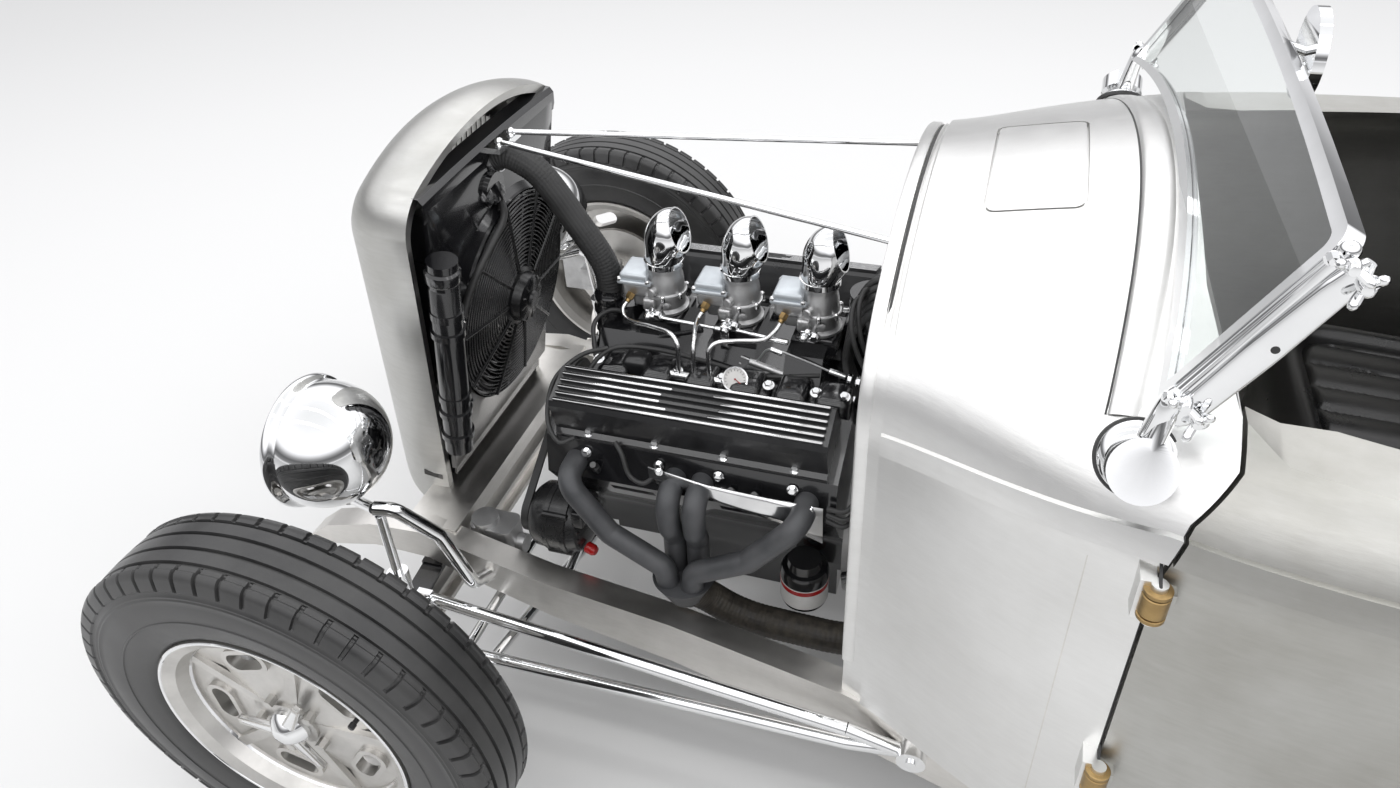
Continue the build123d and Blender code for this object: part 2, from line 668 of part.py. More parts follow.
# Hairpin radius rods: two tubes a side from the axle's bracket to one pivot on the rail
HAIRPIN_TOP_Z = 322
HAIRPIN_LOW_Z = 180
rods = []
for name, side in SIDES:
    front_x, pivot_x = side * HAIRPIN_FRONT_X, side * HAIRPIN_X
    face_y = behind(0) + BEAM_WIDTH / 2
    plate = block(front_x - side * 6, front_x + side * 6, face_y + 5, face_y + 34,
                  HAIRPIN_LOW_Z - 16, HAIRPIN_TOP_Z + 16)
    wedge = block(front_x - side * 6, front_x + side * 6, face_y, face_y + 6,
                  BEAM_Z - BEAM_DEPTH / 2, BEAM_Z + BEAM_DEPTH / 2)
    pivot = (pivot_x, behind(HAIRPIN_PIVOT), HAIRPIN_PIVOT_Z)
    hairpin = plate + wedge
    for z in (HAIRPIN_TOP_Z, HAIRPIN_LOW_Z):
        knee_z = HAIRPIN_PIVOT_Z + (z - HAIRPIN_PIVOT_Z) * 0.26
        knee = (pivot_x, behind(HAIRPIN_PIVOT - 110), knee_z)
        start = (front_x, face_y + 20, z)
        near = (pivot_x, behind(HAIRPIN_PIVOT - 20), HAIRPIN_PIVOT_Z)
        hairpin = hairpin + rod(start, knee, HAIRPIN_R) + Pos(*knee) * Sphere(HAIRPIN_R)
        hairpin = hairpin + rod(knee, near, HAIRPIN_R)
    hairpin = hairpin + across(24, 40, pivot_x, HAIRPIN_PIVOT, HAIRPIN_PIVOT_Z)
    hairpin = hairpin + across(9, 76, pivot_x - side * 14, HAIRPIN_PIVOT, HAIRPIN_PIVOT_Z)
    rods.append(largest(hairpin - beam - both_rails))
save("radius_rods", joined(rods))

# Track bar from the left radius rod's foot to a bracket under the right rail
TRACK_BAR_Z = 180
bar_left = (HAIRPIN_FRONT_X + 22, behind(152), TRACK_BAR_Z)
bar_right = (-320, behind(290), TRACK_BAR_Z)
track_bar = rod(bar_left, bar_right, ROD_R) + Pos(*bar_left) * Sphere(15)
track_bar = track_bar + block(-336, -300, behind(276), behind(304), TRACK_BAR_Z - 14, 262)
save("track_bar", track_bar - both_rails - rods[0] - rods[1])

# Front shock absorbers, each on a bent arm from the rail; the arm also carries a headlamp
SHOCK_TOP = (452, 22, 548)
SHOCK_FOOT = (476, 40, 300)
shocks = []
for name, side in SIDES:
    arm_points = [(340, 132, 315), (392, 128, 345), (404, 92, 470), (440, 44, 556), (450, 12, 560)]
    points = [(side * x, behind(d), z) for x, d, z in arm_points]
    arm = tube(points, 13, [16, 40, 30])
    top = (side * SHOCK_TOP[0], behind(SHOCK_TOP[1]), SHOCK_TOP[2])
    foot = (side * SHOCK_FOOT[0], behind(SHOCK_FOOT[1]), SHOCK_FOOT[2])
    middle = tuple((a + b) / 2 for a, b in zip(top, foot))
    shock = rod(top, foot, 9) + rod(middle, foot, 19)
    bush = across(15, 30, foot[0], SHOCK_FOOT[1], foot[2])
    stem = rod((side * LAMP_X, behind(LAMP_Y), LAMP_Z - LAMP_R + 4),
               (side * LAMP_X, behind(LAMP_Y), LAMP_Z - LAMP_R - 22), 12)
    stand = rod((side * LAMP_X, behind(LAMP_Y), LAMP_Z - LAMP_R - 14), points[-1], 10)
    base = block(side * 440, side * 486, face_y, face_y + 8, BEAM_Z - 14, BEAM_Z + 26)
    post = rod((foot[0], foot[1], foot[2]), (side * 476, face_y + 4, BEAM_Z + 20), 9)
    shocks.append(arm + shock + bush + stem + stand + base + post - beam - both_rails)
front_shocks = joined(shocks)

# Wheels and tyres, made round the X axis with the outer side at +X.
# Columns: name, tyre radius, tyre width, half width of the rim, axle distance, wheel centre X.
WHEELS = (
    ("front", FRONT_TYRE_R, FRONT_TYRE_WIDTH, 65, 0, FRONT_WHEEL_X),
    ("rear", REAR_TYRE_R, REAR_TYRE_WIDTH, 88, WHEELBASE, REAR_WHEEL_X),
)
RIM_SKIN = 7
WELL_R = 186
SLOT_R = 138
SLOT_LENGTH = 72
SLOT_WIDTH = 34
SLOT_LIP = 9
SLOT_TURN = 21
EAR_REACH = 88
EAR_TURN = 60
CAP_R = 33
FLANGE = 9
RIB_WIDTH = 20
RIB_PROUD = 7


def turned(points):
    """Solid of revolution about X from (x, radius) points."""
    return revolve(make_face(Polyline(points, close=True)), Axis.X)


def along_x(radius, x0, x1):
    return Pos((x0 + x1) / 2, 0, 0) * Rot(0, 90, 0) * Cylinder(radius, x1 - x0)


def rim(half):
    """Barrel of the rim with its lips, bead seats and well."""
    outer = [(-half, RIM_R), (-half + FLANGE, RIM_R), (-half + FLANGE, RIM_BEAD_R),
             (-half + 34, RIM_BEAD_R), (-half + 44, WELL_R + RIM_SKIN), (half - 44, WELL_R + RIM_SKIN),
             (half - 34, RIM_BEAD_R), (half - FLANGE, RIM_BEAD_R), (half - FLANGE, RIM_R), (half, RIM_R)]
    inner = [(half, RIM_R - 7), (half - 10, RIM_BEAD_R - RIM_SKIN), (half - 38, WELL_R),
             (-half + 38, WELL_R), (-half + 10, RIM_BEAD_R - RIM_SKIN), (-half, RIM_R - 7)]
    return turned(outer + inner)


def wheel(half, hub_back):
    """Cast disc with five slots and ribs, hub, cap and three-eared spinner."""
    face = half - 38
    disc = turned([(face - SPOKE_DISC, 0), (face - SPOKE_DISC, WELL_R + 2), (face, WELL_R + 2),
                   (face - 4, SLOT_R), (face + 6, 70), (face + 8, 0)])
    solid = rim(half) + disc
    slot = SlotOverall(SLOT_LENGTH, SLOT_WIDTH)
    lip = SlotOverall(SLOT_LENGTH + 2 * SLOT_LIP, SLOT_WIDTH + 2 * SLOT_LIP)
    for number in range(SPOKE_COUNT):
        turn = SLOT_TURN + 360 * number / SPOKE_COUNT
        seat = Rot(turn, 0, 0) * Pos(face, 0, SLOT_R) * Rot(0, 90, 0) * Rot(0, 0, 90)
        raised = seat * Pos(0, 0, 1 - SPOKE_DISC) * extrude(lip, SPOKE_DISC + 4)
        solid = solid + raised - seat * Pos(0, 0, -40) * extrude(slot, 80)
        rib = block(face - 2, face + RIB_PROUD, -RIB_WIDTH / 2, RIB_WIDTH / 2, HUB_R - 6, WELL_R + 1)
        solid = solid + Rot(turn + 180 / SPOKE_COUNT, 0, 0) * rib
        nut = Pos(face + 14, 0, 58) * Rot(0, 90, 0) * extrude(RegularPolygon(9, 6), 8, both=True)
        solid = solid + Rot(turn, 0, 0) * nut
    solid = solid + along_x(HUB_R, hub_back, face + 12)
    cap = turned([(face + 12, 0), (face + 12, CAP_R), (face + 26, CAP_R - 3), (face + 38, 16), (face + 40, 0)])
    ear = extrude(make_face(Polyline([(-11, 8), (11, 8), (7, EAR_REACH), (-7, EAR_REACH)], close=True)), 5, both=True)
    for number in range(3):
        lifted = Pos(face + 26, 0, 0) * Rot(0, 90, 0) * Rot(0, 0, EAR_TURN + 120 * number) * ear
        cap = cap + lifted
    return solid + cap


def tyre(radius, width, half):
    """Closed ring with bulged side walls and a crowned tread."""
    w = width / 2
    seat = half - FLANGE - 1
    lift = RIM_BEAD_R + 0.3
    wall_z = RIM_R + (radius - RIM_R) * 0.52
    points = [(-seat, lift), (seat, lift)]
    right = [Line((seat, lift), (seat, RIM_R + 3)), Line((seat, RIM_R + 3), (half, RIM_R + 5))]
    side = ThreePointArc((half, RIM_R + 5), (w, wall_z), (w - 10, radius - 14))
    shoulder = ThreePointArc((w - 10, radius - 14), (w - 15, radius - 6), (w - 23, radius - 3))
    tread = ThreePointArc((w - 23, radius - 3), (0, radius), (-w + 23, radius - 3))
    edges = right + [side, shoulder]
    other = [mirror(edge, about=Plane.YZ) for edge in edges]
    face = make_face(edges + [tread] + other + [Line((-seat, lift), (seat, lift))])
    return revolve(face, Axis.X)


HUB_GAP = 4
for end, radius, width, half, distance, wheel_x in WHEELS:
    if end == "front":
        hub_back = KINGPIN_X + EYE_R + 21 + HUB_GAP - wheel_x
        cast = wheel(half, hub_back)
        brake = along_x(DISC_R, DISC_X - DISC_HALF - wheel_x, DISC_X + DISC_HALF - wheel_x)
        cast = cast + brake - along_x(STUB_R + PIN_GAP, -200, 31)
    else:
        cast = wheel(half, -62) + turned([(-62, 0), (-62, 138), (-8, 138), (4, 100), (4, 0)])
    rubber = tyre(radius, width, half)
    for name, side in SIDES:
        place = Pos(side * wheel_x, behind(distance), radius)
        shapes = {"wheel": cast, "tyre": rubber}
        for kind, shape in shapes.items():
            placed = shape if side == 1 else mirrored(shape)
            save(f"{kind}_{end}_{name}", place * placed)

# Rear axle: centre housing, tubes and the plates behind the drums
AXLE_TUBE_R = 38
DRUM_BACK = REAR_WHEEL_X - 62
axle = across(AXLE_TUBE_R, 2 * (DRUM_BACK - 8), 0, WHEELBASE, REAR_TYRE_R)
housing = Pos(0, behind(WHEELBASE), REAR_TYRE_R) * Sphere(106)
housing = housing & block(-105, 105, behind(2500), behind(2900), 200, 600)
nose = rod((0, behind(WHEELBASE - 210), REAR_TYRE_R - 18), (0, behind(WHEELBASE), REAR_TYRE_R - 18), 56)
axle = axle + housing + nose
for name, side in SIDES:
    axle = axle + across(132, 8, side * (DRUM_BACK - 8), WHEELBASE, REAR_TYRE_R)
    axle = axle + block(side * 372, side * 428, behind(WHEELBASE - 44), behind(WHEELBASE + 44),
                        REAR_TYRE_R - 110, REAR_TYRE_R - 20)
save("rear_axle", axle)

# Rear coil-over springs and the two trailing arms
COIL_X = 400
COIL_FOOT_Z = REAR_TYRE_R - 96
coils = []
for name, side in SIDES:
    x, y = side * COIL_X, behind(WHEELBASE + 82)
    column = upright(17, x, y, COIL_FOOT_Z, TRUNK_Z - 44)
    for ring in range(7):
        z = COIL_FOOT_Z + 30 + ring * 19
        column = column + upright(42, x, y, z, z + 9)
    foot = block(x - 16, x + 16, behind(WHEELBASE + 44), y + 10, COIL_FOOT_Z, COIL_FOOT_Z + 16)
    head = block(x - 16, side * 460, y - 14, y + 14, TRUNK_Z - 44, TRUNK_Z - 30)
    arm_end = (side * 400, behind(WHEELBASE - 40), REAR_TYRE_R - 80)
    arm_root = (side * 400, behind(1960), 262)
    arm = rod(arm_root, arm_end, 17) + across(24, 44, side * 400, 1960, 262)
    eye_mount = block(side * 380, side * 520, behind(1944), behind(1976), 238, 286)
    coils.append(column + foot + head + arm + eye_mount - axle - both_rails)
rear_suspension = joined(coils)

# Engine block and heads: one cross-section of a V8, carried along the engine.
# Points of one half, (x, height above the crank).
HALF_BLOCK = (
    (0, -70), (140, -70), (140, -20), (152, 10), (229, 95), (284, 180), (269, 252),
    (157, 296), (95, 229), (0, 229),
)


def lengthwise(points, front, length):
    """Front-view outline of (x, z) points carried rearward from a distance."""
    return front_plane(front) * extrude(make_face(Polyline(points, close=True)), -length)


def both_halves(half):
    return list(half) + [(-x, z) for x, z in reversed(half) if x > 0]


block_outline = [(x, CRANK_Z + z) for x, z in both_halves(HALF_BLOCK)]
engine = lengthwise(block_outline, ENGINE_FRONT, BLOCK_LENGTH)
for name, side in SIDES:
    for port in (150, 350):
        relief = block(side * 258, side * 300, behind(ENGINE_FRONT + port - 40),
                       behind(ENGINE_FRONT + port + 40), CRANK_Z + 60, CRANK_Z + 160)
        engine = engine - relief
sump = block(-118, 118, behind(ENGINE_FRONT + 40), behind(ENGINE_FRONT + BLOCK_LENGTH),
             CRANK_Z - 110, CRANK_Z - 70)
sump = sump + block(-110, 110, behind(ENGINE_FRONT + 210), behind(ENGINE_FRONT + BLOCK_LENGTH - 20),
                    CRANK_Z - 190, CRANK_Z - 105)
timing = lengthwise([(-95, CRANK_Z - 70), (95, CRANK_Z - 70), (70, CRANK_Z + 120), (-70, CRANK_Z + 120)],
                    ENGINE_FRONT - 22, 22)
pump = rod((0, behind(ENGINE_FRONT - 70), CRANK_Z + 130), (0, behind(ENGINE_FRONT), CRANK_Z + 130), 42)
for name, side in SIDES:
    pump = pump + rod((side * 80, behind(ENGINE_FRONT), CRANK_Z + 120),
                      (0, behind(ENGINE_FRONT - 40), CRANK_Z + 130), 22)
damper = rod((0, behind(ENGINE_FRONT - 60), CRANK_Z), (0, behind(ENGINE_FRONT - 20), CRANK_Z), 84)
DISTRIBUTOR = ENGINE_FRONT + BLOCK_LENGTH
cap = upright(40, 0, behind(DISTRIBUTOR), CRANK_Z + 390, CRANK_Z + 450)
cap = cap + upright(28, 0, behind(DISTRIBUTOR), CRANK_Z + 200, CRANK_Z + 395)
save("engine", engine + sump + timing + pump + damper + cap)

# Valve covers: finned lids tilted outward, seated on the heads
FIN_COUNT = 6
covers = []
for name, side in SIDES:
    half_w = COVER_WIDTH / 2
    wall_in = 9
    profile = [(-half_w, 0), (half_w, 0), (half_w, 8), (half_w - wall_in, 12),
               (half_w - wall_in - 8, COVER_HEIGHT - 14), (half_w - 24, COVER_HEIGHT - 7),
               (-half_w + 24, COVER_HEIGHT - 7), (-half_w + wall_in + 8, COVER_HEIGHT - 14),
               (-half_w + wall_in, 12), (-half_w, 8)]
    body = extrude(make_face(Polyline(profile, close=True)), -COVER_LENGTH)
    pitch = (COVER_WIDTH - 52) / (FIN_COUNT - 1)
    for fin in range(FIN_COUNT):
        x = -half_w + 26 + fin * pitch
        body = body + block(x - 2, x + 2, COVER_HEIGHT - 12, COVER_HEIGHT, -8, 8 - COVER_LENGTH)
    seat = front_plane(ENGINE_FRONT + 18) * Pos(side * COVER_X, CRANK_Z + COVER_RISE, 0)
    covers.append(seat * Rot(0, 0, -side * COVER_TILT) * body)
save("valve_covers", joined(covers) - parts["engine"])

# Intake manifold: a valley cover with runners up to three pads in a row
INTAKE = (
    (0, 229), (95, 229), (157, 296), (128, 300), (92, 304), (66, 345), (0, 345),
)
intake_outline = [(x, CRANK_Z + z) for x, z in both_halves(INTAKE)]
intake = lengthwise(intake_outline, ENGINE_FRONT + 30, BLOCK_LENGTH - 100)
CARBS = [CARB_FIRST + CARB_SPACING * number for number in range(3)]
for near, far in zip(CARBS, CARBS[1:]):
    gap = block(-200, 200, behind(near + 44), behind(far - 44), CRANK_Z + 310, CRANK_Z + 400)
    intake = intake - gap
for distance in CARBS:
    intake = intake + block(-46, 46, behind(distance - 40), behind(distance + 40),
                            CRANK_Z + 340, CARB_BASE_Z)
outlet = upright(30, 0, behind(ENGINE_FRONT + 62), CRANK_Z + 225, CRANK_Z + 372)
save("intake_manifold", intake + outlet - parts["engine"])

# Carburettors: base, bowl, body, neck and a side lever housing each
carbs = []
for distance in CARBS:
    y = behind(distance)
    z = CARB_BASE_Z
    body = block(-44, 44, y - 38, y + 38, z, z + 12) + upright(34, 0, y, z + 10, z + 44)
    body = body + block(-40, 40, y - 62, y + 8, z + 40, z + 72) + upright(38, 0, y, z + 66, z + 98)
    body = body + rod((30, y - 20, z + 26), (62, y - 20, z + 26), 13)
    carbs.append(body)
save("carburettors", joined(carbs))

# Air scoops: a round neck that turns back into an upright oval mouth.
# Columns: distance behind the throat, height above the neck, lean in degrees, half width, half height.
SCOOP_RINGS = ((0, 0, 0, 36, 36), (7, 36, -40, 42, 43), (44, 70, -84, 39, 46))
SCOOP_SKIN = 3
scoops = []
for distance in CARBS:
    neck_z = CARB_BASE_Z + 98
    shells = []
    for wall in (0, SCOOP_SKIN):
        rings = []
        for back_by, rise, lean_by, half_wide, half_high in SCOOP_RINGS:
            ring_at = Pos(0, behind(distance + back_by), neck_z + rise) * Rot(lean_by, 0, 0)
            past = Pos(0, 0, wall / 3 if lean_by < -50 else -wall / 3)
            rings.append(ring_at * past * Ellipse(half_wide - wall, half_high - wall))
        shells.append(loft(rings))
    scoops.append(shells[0] - shells[1])
save("air_scoops", joined(scoops) - parts["carburettors"])

# Fuel log with its gauge, and a line to each carburettor
LOG_X = 130
LOG_Z = CRANK_Z + 313
LINE_R = 4
# One row per carburettor: the line's corners from its bowl to the log.
LINE_RUNS = (
    ((44, 378, 768), (64, 350, 760), (112, 452, 768), (130, 462, 750), (130, 462, LOG_Z)),
    ((44, 519, 768), (62, 496, 766), (112, 484, 768), (130, 488, 744), (130, 490, LOG_Z)),
    ((44, 660, 768), (64, 626, 758), (112, 528, 766), (130, 516, 744), (130, 516, LOG_Z)),
)
log = rod(tuple(at(LOG_X, 435, LOG_Z)), tuple(at(LOG_X, 545, LOG_Z)), 9)
gauge = rod(tuple(at(LOG_X - 9, 559, LOG_Z + 2)), tuple(at(LOG_X + 6, 564, LOG_Z + 19)), 21)
log = log + gauge + rod(tuple(at(LOG_X, 540, LOG_Z)), tuple(at(LOG_X - 4, 560, LOG_Z + 8)), 7)
post = block(LOG_X - 6, LOG_X + 6, behind(474), behind(484), CRANK_Z + 290, LOG_Z)
for run in LINE_RUNS:
    corners = [tuple(at(*corner)) for corner in run]
    for near, far in zip(corners, corners[1:]):
        log = log + rod(near, far, LINE_R) + Pos(*far) * Sphere(LINE_R)
fuel = log + post - parts["carburettors"] - parts["intake_manifold"] - parts["engine"]
save("fuel_lines", fuel - parts["valve_covers"])

# Exhaust headers: four tubes a side swept into one collector, then a pipe to the tail
HEADER_R = 20
PORT_Z = CRANK_Z + 212
SPACING = 21
# One row per tube, its corners from the port to the collector as (x, distance, z).
HEADER_TUBES = (
    ((262, 318, PORT_Z), (330, 318, 588), (336, 392, 490), (335, 488, 432), (335, 494, 388)),
    ((262, 499, PORT_Z), (330, 499, 588), (324, 500, 522), (293, 495, 474), (293, 494, 388)),
    ((262, 546, PORT_Z), (330, 546, 588), (324, 544, 522), (293, 537, 474), (293, 536, 388)),
    ((262, 724, PORT_Z), (330, 724, 588), (336, 640, 490), (335, 542, 432), (335, 536, 388)),
)
TUBE_BENDS = [32, 26, 26]
collector = Pos(MERGE_X, behind(MERGE), 370) * Cone(PIPE_R + 1, 2 * SPACING + 14, 56)
bank = collector + tube([tuple(at(*corner)) for corner in PIPE_RUN], PIPE_R, PIPE_BENDS)
for row in HEADER_TUBES:
    bank = bank + tube([tuple(at(*corner)) for corner in row], HEADER_R, TUBE_BENDS)
exhaust = [bank, mirrored(bank)]
save("exhaust", joined(exhaust) - parts["engine"])

# Alternator low on the left, its bracket, and the belt round three pulleys
ALT = (238, 400)
alt_front = behind(ENGINE_FRONT - 78)
alternator = rod((ALT[0], behind(ENGINE_FRONT - 66), ALT[1]), (ALT[0], behind(ENGINE_FRONT + 34), ALT[1]), 64)
alternator = alternator + rod((ALT[0], behind(ENGINE_FRONT + 30), ALT[1]),
                              (ALT[0], behind(ENGINE_FRONT + 48), ALT[1]), 44)
alternator = alternator + rod((ALT[0] + 34, behind(ENGINE_FRONT + 34), ALT[1] - 30),
                              (ALT[0] + 34, behind(ENGINE_FRONT + 66), ALT[1] - 30), 9)
alternator = alternator + block(130, 200, behind(ENGINE_FRONT - 20), behind(ENGINE_FRONT + 6),
                                ALT[1] - 18, ALT[1] + 22)
save("alternator", alternator - parts["engine"] - parts["steering_gear"])

# Columns: x, z, radius of each pulley
PULLEYS = ((0, CRANK_Z, 74), (0, CRANK_Z + 130, 62), (ALT[0], ALT[1], 34))
BELT = 6
belt_y = behind(ENGINE_FRONT - 86)
drive = []
for x, z, radius in PULLEYS:
    disc = rod((x, belt_y, z), (x, belt_y + 20, z), radius)
    hub = rod((x, belt_y - 6, z), (x, belt_y + 28, z), radius * 0.45)
    drive.append(disc + hub)
outer_edges, inner_edges = [], []
for x, z, radius in PULLEYS:
    outer_edges += list((Pos(x, z) * Circle(radius + BELT)).edges())
    inner_edges += list((Pos(x, z) * Circle(radius)).edges())
ring = make_hull(outer_edges) - make_hull(inner_edges)
belt_plane = Plane(origin=(0, belt_y + 3, 0), x_dir=(1, 0, 0), z_dir=(0, -1, 0))
belt = belt_plane * extrude(ring, -14)
drive_shape = joined(drive + [belt]) - parts["engine"] - parts["alternator"]
save("belt_drive", drive_shape)

# Oil filter at the left rear of the block
FILTER = (196, 706)
oil_filter = upright(44, FILTER[0], behind(FILTER[1]), 268, 356)
oil_filter = oil_filter + upright(30, FILTER[0], behind(FILTER[1]), 356, 372)
oil_filter = oil_filter + block(130, FILTER[0], behind(FILTER[1] - 26), behind(FILTER[1] + 26), 366, 392)
save("oil_filter", oil_filter - parts["engine"] - parts["exhaust"])

# Bell housing, gearbox and propeller shaft
BELL_REAR_R = 120
BOX_FRONT = 935
BOX_REAR = 1400
bell_front = front_plane(ENGINE_FRONT + BLOCK_LENGTH) * Pos(0, CRANK_Z) * Circle(BELL_R)
bell_rear = front_plane(BOX_FRONT) * Pos(0, CRANK_Z) * Circle(BELL_REAR_R)
gearbox = loft([bell_front, bell_rear])
gearbox = gearbox + block(-92, 92, behind(BOX_FRONT), behind(1290), CRANK_Z - 105, CRANK_Z + 84)
gearbox = gearbox + rod((0, behind(1285), CRANK_Z - 8), (0, behind(BOX_REAR), CRANK_Z - 12), 62)
gearbox = gearbox + block(-60, 60, behind(BOX_REAR - 12), behind(BOX_REAR + 46), 262, CRANK_Z - 50)
SHAFT_R = 36
shaft = rod((0, behind(BOX_REAR), CRANK_Z - 12),
            (0, behind(WHEELBASE - 210), REAR_TYRE_R - 18), SHAFT_R)
gearbox = gearbox + shaft
save("gearbox", gearbox - parts["rear_axle"] - parts["crossmembers"])
save("rear_suspension", rear_suspension - parts["crossmembers"])
save("front_shocks", front_shocks - parts["radius_rods"])

# Radiator shell: an outline in a plane that leans back, carried forward and hollowed.
# In this frame X is across, Y is up along the lean and Z points forward.
SHELL_HEIGHT = (SHELL_TOP - SHELL_BOTTOM) / math.cos(math.radians(SHELL_LEAN))
SHELL_FOOT = -27
lean = math.radians(SHELL_LEAN)
shell_plane = Plane(origin=(0, behind(SHELL_FOOT), SHELL_BOTTOM), x_dir=(1, 0, 0),
                    z_dir=(0, -math.cos(lean), math.sin(lean)))
SHOULDER_DROP = 75
CORNER_R = 80
NOSE_INSET = 40
BULGE_INSET = 4
BULGE_AT = SHELL_DEPTH * 0.55


def shell_outline(inset):
    """Rear outline of the shell: tapered sides, an arched top with rounded corners."""
    bottom = SHELL_BOTTOM_HALF - inset
    half = SHELL_HALF_WIDTH - inset
    top = SHELL_HEIGHT - inset
    corner = top - SHOULDER_DROP
    edges = [
        Line((-bottom, inset), (bottom, inset)),
        Line((bottom, inset), (half, corner)),
        ThreePointArc((half, corner), (0, top), (-half, corner)),
        Line((-half, corner), (-bottom, inset)),
    ]
    face = make_face(edges)
    corners = [v for v in face.vertices() if abs(v.Y - corner) < 1]
    return fillet(corners, CORNER_R - inset / 3)


back = shell_plane * shell_outline(0)
bulge = shell_plane * Pos(0, 0, BULGE_AT) * shell_outline(BULGE_INSET)
nose = shell_plane * Pos(0, 0, SHELL_DEPTH) * shell_outline(NOSE_INSET)
outer_shell = loft([back, bulge, nose])
cavity = shell_plane * extrude(shell_outline(SHELL_SKIN), BULGE_AT)
cavity_nose = loft([shell_plane * Pos(0, 0, BULGE_AT) * shell_outline(BULGE_INSET + SHELL_SKIN),
                    shell_plane * Pos(0, 0, SHELL_DEPTH + 1) * shell_outline(NOSE_INSET + SHELL_SKIN)])
radiator_shell = outer_shell - cavity - cavity_nose
save("radiator_shell", radiator_shell - both_rails - parts["crossmembers"])

# Grille: upright bars held by a rim inside the nose of the shell
GRILLE_DEPTH = SHELL_DEPTH - 30
BAR_COUNT = 23
BAR_WIDTH = 4
BAR_DEPTH = 14
rim_outer = extrude(shell_plane * Pos(0, 0, GRILLE_DEPTH - 12) * shell_outline(SHELL_SKIN + 40), 10)
grille_room = extrude(shell_plane * Pos(0, 0, GRILLE_DEPTH - 13) * shell_outline(SHELL_SKIN + 52), 30)
grille = rim_outer - grille_room
bar_space = extrude(shell_plane * Pos(0, 0, GRILLE_DEPTH - 16) * shell_outline(SHELL_SKIN + 48), 30)
pitch = 2 * (SHELL_HALF_WIDTH - SHELL_SKIN - 40) / (BAR_COUNT + 1)
for number in range(BAR_COUNT):
    x = (number - (BAR_COUNT - 1) / 2) * pitch
    bar = shell_plane * Pos(x, SHELL_HEIGHT / 2, GRILLE_DEPTH - 7) * Box(BAR_WIDTH, SHELL_HEIGHT, BAR_DEPTH)
    grille = grille + (bar & bar_space)
carrier = extrude(shell_plane * Pos(0, 0, GRILLE_DEPTH - 12) * shell_outline(0), 6)
carrier = (carrier & (cavity + cavity_nose)) - grille_room
grille = grille + carrier
save("grille", grille)

# Radiator core with its tanks, cap and outlet
CORE_HALF = 202
CORE_LOW = 150
CORE_HIGH = 600
CORE_BACK = -6
CORE_THICK = 62


def on_shell(x0, x1, low, high, back_at, front_at):
    """Box in the shell's leaning frame; back_at and front_at are measured forward."""
    return shell_plane * block(x0, x1, low, high, back_at, front_at)


def shell_point(x, height, forward):
    """Point of the car given in the shell's leaning frame."""
    return shell_plane.from_local_coords((x, height, forward))


radiator = on_shell(-CORE_HALF, CORE_HALF, CORE_LOW, CORE_HIGH, CORE_BACK, CORE_BACK + CORE_THICK)
top_tank = on_shell(-CORE_HALF - 14, CORE_HALF + 14, CORE_HIGH, CORE_HIGH + 92, CORE_BACK - 6,
                    CORE_BACK + CORE_THICK + 8)
low_tank = on_shell(-190, 190, CORE_LOW - 62, CORE_LOW, CORE_BACK - 2, CORE_BACK + CORE_THICK + 2)
radiator = radiator + top_tank + low_tank
for name, side in SIDES:
    radiator = radiator + on_shell(side * CORE_HALF, side * (CORE_HALF + 16), CORE_LOW + 120, CORE_HIGH,
                                   CORE_BACK - 8, CORE_BACK + CORE_THICK + 8)
    radiator = radiator + on_shell(side * 150, side * 215, CORE_LOW - 62, CORE_LOW - 50, 10, 50)
TANK_BACK = CORE_BACK - 6
cap_at = shell_plane * Pos(30, CORE_HIGH + 56, TANK_BACK) * Cylinder(34, 36)
outlet_start = shell_point(0, CORE_HIGH + 40, TANK_BACK + 4)
HOSE_R = 23
hose_points = [(64, 78, 990), (64, 122, 1003), (56, 205, 985), (34, 276, 900), (14, 316, 810),
               (0, 324, CRANK_Z + 385)]
feet = on_shell(-200, 200, 10, CORE_LOW - 62, 14, 44) & block(-400, 400, behind(-200), behind(200), 0, 900)
cradle = feet
radiator = radiator + cap_at + cradle
hose_start = at(*hose_points[0])
neck = rod(tuple(hose_start), tuple(at(64, 40, 988)), 20)
radiator = radiator + neck
radiator = radiator - radiator_shell - both_rails - parts["crossmembers"]
save("radiator", radiator)
hose_path = [tuple(at(*p)) for p in hose_points]
top_hose = tube(hose_path, HOSE_R, [60, 90, 110, 70])
hose_clear = top_hose - radiator - parts["intake_manifold"] - parts["engine"] - parts["carburettors"]
save("top_hose", hose_clear)

# Electric fan: guard rings on radial bars round a motor, with blades behind them
FAN_R = 204
FAN_HEIGHT = 420
FAN_BACK = CORE_BACK - 44
fan_plane = shell_plane * Pos(0, FAN_HEIGHT, 0)
fan = fan_plane * Pos(0, 0, (FAN_BACK + CORE_BACK) / 2) * (Cylinder(FAN_R, 38) - Cylinder(FAN_R - 8, 40))
RING_COUNT = 9
for ring in range(RING_COUNT):
    radius = 62 + ring * (FAN_R - 70) / RING_COUNT
    wire = Cylinder(radius + 3, 4) - Cylinder(radius, 5)
    fan = fan + fan_plane * Pos(0, 0, FAN_BACK + 2) * wire
for number in range(8):
    bar = Pos((FAN_R + 40) / 2 - 2, 0, 0) * Box(FAN_R - 40, 7, 6)
    fan = fan + fan_plane * Pos(0, 0, FAN_BACK + 3) * Rot(0, 0, 45 * number + 12) * bar
fan = fan + fan_plane * Pos(0, 0, FAN_BACK + 4) * Cylinder(64, 26)
fan = fan + fan_plane * Pos(0, 0, FAN_BACK - 14) * Cylinder(44, 26)
